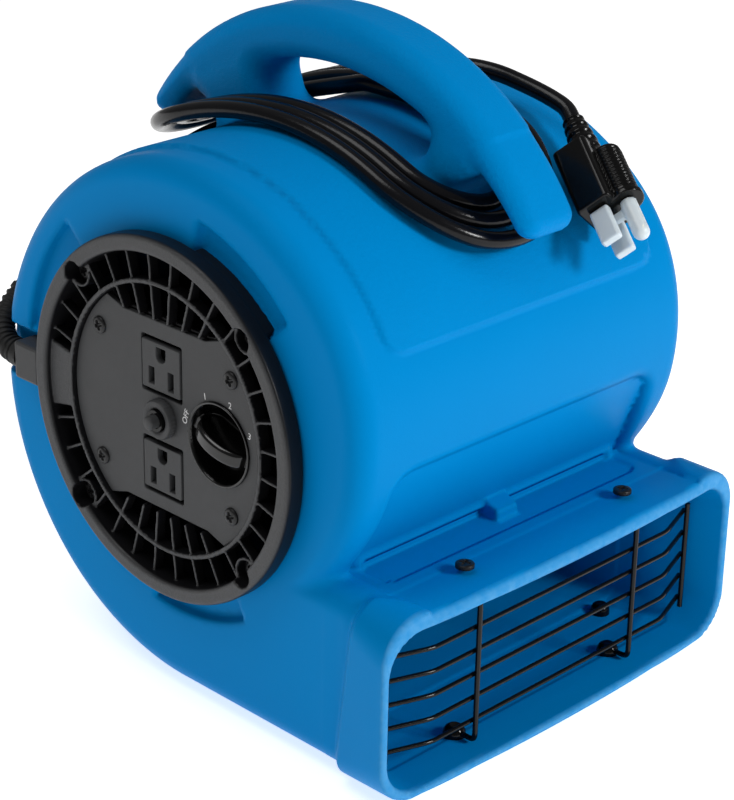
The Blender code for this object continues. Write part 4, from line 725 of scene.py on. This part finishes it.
gloss = mottled("gloss_black_plastic", (60.0, (0.002, 0.002, 0.002), (0.004, 0.004, 0.004)),
                (400.0, 0.1, 0.08), Specular_IOR_Level=0.22)
for name, (y, z) in OUTLETS.items():
    bow = arc_outline(y, z + GROUND_LOW, GROUND_HALF, np.linspace(np.pi, 2 * np.pi, 13))
    ground = np.concatenate([[(y + GROUND_HALF, z + GROUND_TOP), (y - GROUND_HALF, z + GROUND_TOP)], bow])
    slots = [box_outline(y + c, z + SLOT_Z, (SLOT_HALF, tall / 2), 0.3) for c, tall in SLOTS]
    face = plate([box_outline(y, z, OUTLET_FACE, 1.0), ground] + slots, PANEL_FACE + 0.5, 3.4, 0.4)
    show(name + "_face", face, nylon, "base", [name])
    # A black sheet behind the outlet's edge: painted shade for the groove round it.
    back = plate([box_outline(y, z, OUTLET_SHADE_BACKING, 1.0)], PANEL_FACE - 3.2, 1.0, 0.1)
    show(name + "_shade_backing", back, gloss, "base")


# Circuit breaker
# A push-to-reset breaker of black thermoplastic: a knurled ring nut clamps its neck to the panel, and
# the round button stands out through the neck.
NUT_PROFILE = ((5.5, -115.6), (9.6, -115.6), (9.6, -118.6), (8.9, -119.4), (7.6, -119.6), (6.4, -119.4),
               (5.5, -118.6))
NUT_SIDES = 96
BUTTON_PROFILE = ((0.3, -112.5), (3.3, -112.5), (3.3, -123.6), (3.1, -124.4), (2.5, -124.8), (0.3, -124.8))


def lathe(profile, centre, flutes=0, depth=0.0, sides=48):
    """Surface turned about a line along X: profile gives (radius, x) and flutes wave its widest part."""
    profile = np.asarray(profile, float)
    angle = turns(sides)
    widest = profile[:, :1] >= profile[:, 0].max() - 0.05
    radius = profile[:, :1] - depth * widest * (0.5 - 0.5 * np.cos(flutes * angle))
    x = np.broadcast_to(profile[:, 1:], radius.shape)
    return np.stack([x, centre[0] + radius * np.cos(angle), centre[1] + radius * np.sin(angle)], axis=-1)


nut = lathe(NUT_PROFILE, BREAKER, 32, 0.3, NUT_SIDES)
last = (len(NUT_PROFILE) - 1) * NUT_SIDES
bore = [(last + k, last + (k + 1) % NUT_SIDES, (k + 1) % NUT_SIDES, k) for k in range(NUT_SIDES)]
new_piece("breaker_ring_nut", in_row(nut.reshape(-1, 3)), grid_faces(*nut.shape[:2])[:-2] + bore, nylon,
          "base", ["breaker_nut"], sharp=40)
from_grid("reset_button_cap", lathe(BUTTON_PROFILE, BREAKER), nylon, "button",
          "reset_button", 50)


# Speed knob
# A gloss black phenolic moulding on the switch shaft: a bowl let into the panel, whose lip lies on the
# plate, with an arched fin across it to turn it by. The fin points at OFF.
KNOB_RADIUS, KNOB_NECK, KNOB_FLOOR, KNOB_ANGLE = 20.1, 19.4, -10.8, math.radians(163.0)


def knob_field(x, y, z):
    """Signed distance to the knob in its own frame: x out of the panel from its face, y along the fin."""
    radius = np.hypot(y, z)
    lip = rounded(radius - KNOB_RADIUS, span(x, 0.2, 1.2), 0.45)
    neck = meet(radius - KNOB_NECK, span(x, KNOB_FLOOR - 1.8, 0.8))
    bowl = rounded(radius - 15.0 - 3.8 * np.clip((x - KNOB_FLOOR) / 12.0, 0.0, 1.2), KNOB_FLOOR - x, 4.0)
    crest = 8.2 * np.sqrt(np.maximum(1 - (y / 15.5) ** 2, 0.0)) - 2.2
    fin = rounded(np.abs(z) - 3.9, 0.75 * (x - crest), 2.0)
    fin = meet(fin, KNOB_FLOOR - 0.7 - x, radius - 18.6)
    return joined(without(joined(lip, neck, 0.4), bowl, 0.9), fin, 1.2)


def turned_skin(name, field, lines, turn, origin, material, body, node):
    """A piece from a field in its own frame, whose three directions are the rows of turn."""
    points, quads, normals = skin_of(field, *lines)
    return new_piece(name, in_row(points @ turn + origin), quads, material, body, [node],
                     normals @ turn)


phenolic = mottled("gloss_phenolic", (60.0, (0.0008, 0.0008, 0.0008), (0.002, 0.002, 0.002)),
                   (400.0, 0.12, 0.08), Specular_IOR_Level=0.45)
KNOB_TURN = np.array([(-1.0, 0.0, 0.0), (0.0, -math.cos(KNOB_ANGLE), math.sin(KNOB_ANGLE)),
                      (0.0, math.sin(KNOB_ANGLE), math.cos(KNOB_ANGLE))])
across = np.arange(-20.6, 20.7, 0.65)
turned_skin("speed_knob_moulding", knob_field, (np.arange(-13.4, 7.4, 0.6), across, across), KNOB_TURN,
            (-PANEL_FACE, *KNOB), phenolic, "knob", "speed_knob")


# Outlet guard
# Five rows of steel wire welded to four uprights and coated black. Two uprights end in eyes under the
# roof screws, and hook under push-in clips on the floor.
ROW_RADIUS, WIRE_RADIUS, GUARD_Y, EYE_Z, CLIP_Z = 1.1, 1.3, -139.0, -58.6, -132.0
ROWS = (-74.0, -86.0, -98.0, -110.0, -122.0)


def evenly(points, spacing):
    """The same path with points so far apart."""
    points = np.asarray(points, float)
    travel = np.concatenate([[0.0], np.cumsum(np.linalg.norm(np.diff(points, axis=0), axis=1))])
    wanted = np.linspace(0.0, travel[-1], max(int(round(travel[-1] / spacing)), 2) + 1)
    return np.stack([np.interp(wanted, travel, points[:, k]) for k in range(3)], axis=1)


def bent(points, spacing=0.9, times=12):
    """A wire's path with its corners rounded by averaging each point with its neighbours."""
    path = evenly(points, spacing)
    for _ in range(times):
        path[1:-1] = (path[:-2] + 2 * path[1:-1] + path[2:]) / 4
    return path


def unit(vectors):
    """Vectors of length 1 in the same directions."""
    return vectors / np.linalg.norm(vectors, axis=-1, keepdims=True)


def swept(path, radius, sides, across=(0.0, 0.0, 1.0)):
    """A round tube: path(s) + radius(s) * (cos a, sin a) across it; across is never along the path."""
    along = unit(np.gradient(path, axis=0))
    side = unit(np.cross(along, across))
    up = np.cross(side, along)
    angle = turns(sides)[:, None]
    ring = side[:, None] * np.cos(angle) + up[:, None] * np.sin(angle)
    return path[:, None] + np.reshape(radius, (-1, 1, 1)) * ring


wires = [swept(bent([(-107, -130, z), (-82, GUARD_Y, z), (82, GUARD_Y, z), (107, -130, z)]), ROW_RADIUS, 12)
         for z in ROWS]
for x in (-55.0, 55.0):
    eye = np.linspace(0.3, 2 * np.pi - 0.3, 25)
    loop = np.stack([x + 3.6 * np.sin(eye), -131.0 - 3.6 * np.cos(eye), np.full(25, EYE_Z)], axis=1)
    wires.append(swept(loop, WIRE_RADIUS, 12))
    front = GUARD_Y - 1.6 * WIRE_RADIUS
    hook = [(x, -134.6, EYE_Z), (x, front, EYE_Z - 0.5), (x, front, CLIP_Z), (x, -128.0, CLIP_Z)]
    wires.append(swept(bent(hook), WIRE_RADIUS, 12, (1.0, 0.0, 0.0)))
    end = math.copysign(105.5, x)
    wires.append(swept(evenly([(end, -133, -69), (end, -133, -126)], 4.0), WIRE_RADIUS, 12, (1.0, 0.0, 0.0)))
points, faces = [], []
for wire in wires:
    start = sum(map(len, points))
    faces += [[start + corner for corner in face] for face in grid_faces(*wire.shape[:2])]
    points.append(wire.reshape(-1, 3))
new_piece("outlet_guard_wires", in_row(np.concatenate(points)), faces, gloss, "base",
          ["outlet_guard"], sharp=60)


# Clips and foot nuts
# Black nylon domes on the outlet's floor: a push-in clip over the hook of each upright, and a cap nut on
# the end of each front foot's screw.
DOMES = {"guard_clip": ((55.0, -128.5, -135.6), 5.4, 6.4), "foot_nut": ((84.0, -100.0, -135.2), 4.8, 6.0)}

for kind, ((x, y, z), radius, height) in DOMES.items():
    for number, side in enumerate((-1, 1), 1):
        name = "%s_%d" % (kind, number)
        dome = screw_head((side * x, y, z), (0, 0, 1), radius, height, 0.0)
        from_grid(name + "_dome", dome, gloss, "base", name, 50)


# Pieces shown as built
# Rubber feet on steel screws, the nylon cord gland, the motor and its wheel, the switch gear and the
# plug's brass prongs. They are small or out of sight, so they keep their solids, in these finishes.
def dress(material, bevel, *starts):
    """Give the solids whose names start so a finish, and a small bevel in metres where one is wanted."""
    for node in (NODES[name] for name in NODES if name.startswith(starts)):
        node.data.materials.clear()
        node.data.materials.append(material)
        if bevel:
            edge = node.modifiers.new("edge", "BEVEL")
            edge.width = bevel
            edge.segments = 2
            edge.limit_method = "ANGLE"


rubber = mottled("soft_rubber", (80.0, (0.009, 0.009, 0.009), (0.015, 0.015, 0.015)), (300.0, 0.5, 0.2),
                 (1600.0, 0.00008), Specular_IOR_Level=0.3)
steel = mottled("bright_steel", (70.0, (0.5, 0.51, 0.52), (0.62, 0.62, 0.63)), (500.0, 0.25, 0.2),
                Metallic=1.0)
brass = mottled("rolled_brass", (90.0, (0.68, 0.47, 0.2), (0.75, 0.55, 0.26)), (500.0, 0.2, 0.15),
                Metallic=1.0)
dress(rubber, 0.0, "foot_front", "foot_rear")
dress(nylon, 0.0006, "cord_gland")
dress(gloss, 0.0, "breaker_body", "rotary_switch", "run_capacitor", "switch_box", "fan_wheel")
dress(steel, 0.0, "foot_screw", "motor_", "bearing_")
dress(brass, 0.0, "plug_blade", "plug_ground_pin")


# Plug
# A black vinyl three-pin plug moulded on the cord's end: a block with a ribbed barrel over its ground pin,
# and a ringed sleeve behind. Its own x runs along the prongs, and z from the blades to the ground pin.
PLUG_FACE = np.array([45.5, -118.5, 89.8])
PLUG_AXIS = np.array([-0.415, -0.785, -0.459])
PLUG_GROUND_SIDE = np.array([0.48, -0.618, 0.623])
PLUG_LENGTH, PLUG_RELIEF, GROUND_Z, RELIEF_Z = 38.0, 20.0, 11.9, 4.0


def plug_field(x, y, z):
    """Signed distance to the plug's moulding, in its own frame."""
    block = rounded(rounded(span(y, -13.0, 13.0), span(z, -8.5, 9.0), 2.5), span(x, -PLUG_LENGTH, 0.0), 1.2)
    ground = np.hypot(y, z - GROUND_Z)
    rib = 0.35 * np.clip(1.6 * np.cos(2 * np.pi * x / 2.1), -1, 1) * step(-30, -28, x) * step(-4, -6, x)
    barrel = rounded(ground - 6.7 - rib, span(x, -31.0, -1.0), 0.8)
    flange = rounded(ground - 8.0, span(x, -2.8, 0.2), 0.6)
    neck = np.hypot(y, z - RELIEF_Z)
    slope = np.clip((-PLUG_LENGTH - 4.0 - x) / (PLUG_RELIEF - 4.0), 0.0, 1.0)
    ringed = 0.45 * (1 - np.clip(2.0 * np.cos(2 * np.pi * (x + PLUG_LENGTH) / 5.0), -1, 1))
    sleeve = neck - 7.0 + 1.7 * slope + ringed
    sleeve = rounded(sleeve, span(x, -PLUG_LENGTH - PLUG_RELIEF, -PLUG_LENGTH + 2), 0.6)
    return joined(joined(joined(block, barrel, 1.5), flange, 0.6), sleeve, 0.8)


plug_along = unit(PLUG_AXIS)
plug_ground = unit(PLUG_GROUND_SIDE - plug_along * (PLUG_GROUND_SIDE @ plug_along))
PLUG_TURN = np.stack([plug_along, np.cross(plug_ground, plug_along), plug_ground])
plug_grid = np.arange(-60.0, 2.0, 0.7), np.arange(-14.5, 14.6, 0.75), np.arange(-10.0, 21.6, 0.75)
plug = turned_skin("plug_moulding", plug_field, plug_grid, PLUG_TURN, PLUG_FACE, gloss, "base",
                   "plug_body")


# Prong guard
# A milky polythene cap pushed over the three prongs for transit: a flat sleeve for each blade and a round
# one for the ground pin, moulded as one piece with a bridge between them. It goes with the plug.
def cap_field(x, y, z):
    """Signed distance to the prong guard: two flat sleeves and a round one, tied by a bridge."""
    flat = rounded(rounded(np.abs(np.abs(y) - 6.35) - 2.2, np.abs(z) - 4.8, 1.2), span(x, 0.6, 19.0), 0.9)
    ground = np.hypot(y, z - GROUND_Z)
    tube = meet(np.hypot(ground, np.maximum(x - 18.6, 0.0)) - 3.9, 0.6 - x)
    bridge = meet(span(x, 3.0, 7.0), np.abs(y) - 6.0, np.abs(z) - 2.0)
    tie = meet(span(x, 3.0, 7.0), np.abs(y) - 1.5, span(z, 0.0, 11.0))
    return joined(joined(flat, tube, 0.5), joined(bridge, tie, 0.5), 0.6)


milky = mottled("milky_polythene", (120.0, (0.72, 0.82, 0.88), (0.8, 0.88, 0.93)), (600.0, 0.3, 0.1),
                Transmission_Weight=0.25, IOR=1.5, Subsurface_Weight=0.3,
                Subsurface_Radius=(0.004, 0.004, 0.004))
cap_grid = np.arange(-0.6, 24.0, 0.6), np.arange(-9.6, 9.7, 0.6), np.arange(-6.0, 17.1, 0.6)
cap = turned_skin("prong_guard_cap", cap_field, cap_grid, PLUG_TURN, PLUG_FACE, milky, "base",
                  "prong_cap")


# Mains cord
# A round black flex with a glossy vinyl jacket. It leaves its gland at the rear of the control side, is
# wound three times round the posts of the handle under its horns, and ends in the moulded plug.
CORD_RADIUS = 4.1
RELIEF_ROUTE = [(-112.5, 106.3, -1.5), (-112.5, 112.3, -1.5), (-112.0, 121.0, 0.3), (-107.8, 129.3, 5.5),
                (-100.5, 133.8, 12.5), (-91.5, 134.5, 20.5)]
LEAD_ROUTE = [(-74.0, 128.8, 36.5), (-62.0, 122.0, 48.5), (-50.0, 114.5, 60.0), (-36.0, 107.0, 71.5),
              (-20.0, 100.0, 82.5), (-4.0, 95.5, 89.5), (9.5, 91.2, 92.6), (18.2, 84.6, 95.8),
              (22.8, 76.7, 100.8), (24.2, 67.0, 107.8), (24.5, 57.0, 114.4)]
TAIL_ROUTE = [(56.0, 3.0, 131.3), (62.0, -13.5, 134.6), (67.8, -29.0, 133.8), (72.4, -43.0, 130.2),
              (75.2, -56.5, 126.4)]
LOOPS, LOOP_STEPS, LOOP_HALF, LOOP_PITCH, LOOP_TOP = 3, 24, 24.0, 9.0, 127.8


def smooth_through(points, count):
    """Smooth path through points, read at evenly spread places."""
    return through(np.asarray(points, float), np.linspace(0.0, len(points) - 1, count))


def winding(place):
    """Path of the wound cord: straight runs beside the handle and half turns round its posts.

    One loop takes 24 steps: 4 along the far side, 8 round the front, 4 along the near side and 8
    round the rear. Each loop lies outside the last by the pitch, and drops to the front and rear.
    """
    turn, phase = place / LOOP_STEPS, place % LOOP_STEPS
    half = LOOP_HALF + LOOP_PITCH * turn
    rear, front = turn - 20 / 24, turn - 8 / 24
    rear_y = 91.0 + 10.0 * rear
    rear_z = 103.0 - 3.0 * rear - 1.2 * rear * np.abs(rear)
    rear_centre = rear_y - half
    front_centre = -91.5 - LOOP_PITCH * front + half
    front_turn, rear_turn = np.pi * (phase - 4) / 8, np.pi * (phase - 16) / 8
    reach = np.sin(front_turn)
    pull = (LOOP_PITCH - 6.9) * front * np.abs(reach) ** 6
    part = [phase < 4, phase < 12, phase < 16]
    x = np.select(part, [half, half * np.cos(front_turn), -half], -half * np.cos(rear_turn))
    run = front_centre - rear_centre
    y = np.select(part, [rear_centre + run * phase / 4, front_centre - half * reach + pull,
                         front_centre - run * (phase - 12) / 4], rear_centre + half * np.sin(rear_turn))
    side = np.select(part, [1.0, np.cos(front_turn), -1.0], -np.cos(rear_turn))
    ahead = np.maximum(-y, 0.0) / 90.0
    z = np.where(y > 0, LOOP_TOP - (LOOP_TOP - rear_z) * (y / rear_y) ** 2,
                 LOOP_TOP - 28.0 * ahead ** 2 * (ahead * 0.91) ** (1.0 + side))
    return np.stack([x, y, z], axis=1)


plug_back = PLUG_FACE + np.array([-PLUG_LENGTH - PLUG_RELIEF, 0.0, RELIEF_Z]) @ PLUG_TURN
relief_path = evenly(smooth_through(RELIEF_ROUTE, 240), 0.6)
loops = winding(np.linspace(2.0, LOOPS * LOOP_STEPS + 1.0, (LOOPS * LOOP_STEPS - 1) * 6 + 1))
wind_in, wind_out = unit(loops[0] - loops[1]), unit(loops[-1] - loops[-2])
relief_out = unit(relief_path[-1] - relief_path[-8])
lead = smooth_through([relief_path[-1] + relief_out * 9.0, *LEAD_ROUTE, loops[0] + wind_in * 17.0], 400)
tail = smooth_through([loops[-1] + wind_out * 17.0, *TAIL_ROUTE, plug_back - plug_along * 9.0], 260)
cord_path = bent(np.concatenate([relief_path, lead, loops, tail, [plug_back + plug_along * 3.0]]), 2.5, 2)

vinyl = mottled("cord_vinyl", (60.0, (0.002, 0.002, 0.003), (0.005, 0.005, 0.006)), (260.0, 0.15, 0.1),
                (900.0, 0.00005), Specular_IOR_Level=0.22)
flex = bpy.data.curves.new("mains_cord", "CURVE")
flex.dimensions = "3D"
flex.bevel_depth = CORD_RADIUS * MM
flex.bevel_resolution = 6
flex.use_fill_caps = True
line = flex.splines.new("POLY")
line.points.add(len(cord_path) - 1)
line.points.foreach_set("co", np.hstack([in_row(cord_path), np.ones((len(cord_path), 1))]).ravel())
line.use_smooth = True
mains_cord = show("mains_cord", flex, vinyl, "base",
                  ["cord_lead", "cord_winding", "cord_tail"])


# Strain relief
# A tapered black rubber sleeve, ringed so that it bends, moulded on the cord where it leaves the gland.
# It goes with the cord, and the cord's own path starts at its root.
RELIEF_ROOT, RELIEF_TIP, RELIEF_RING = 7.1, 4.95, 3.6

run = np.linspace(0.0, np.linalg.norm(np.diff(relief_path, axis=0), axis=1).sum(), len(relief_path))
ringed = (run > 5.0) & (run < run[-1] - 3.0)
groove = np.where(ringed, 0.45 * (1 - np.clip(np.cos(2 * np.pi * run / RELIEF_RING) * 2.5, -1, 1)), 0.0)
sleeve = swept(relief_path, RELIEF_ROOT + (RELIEF_TIP - RELIEF_ROOT) * run / run[-1] - groove, 28)
strain_relief = from_grid("strain_relief_sleeve", sleeve, rubber, "base", "strain_relief", 40)
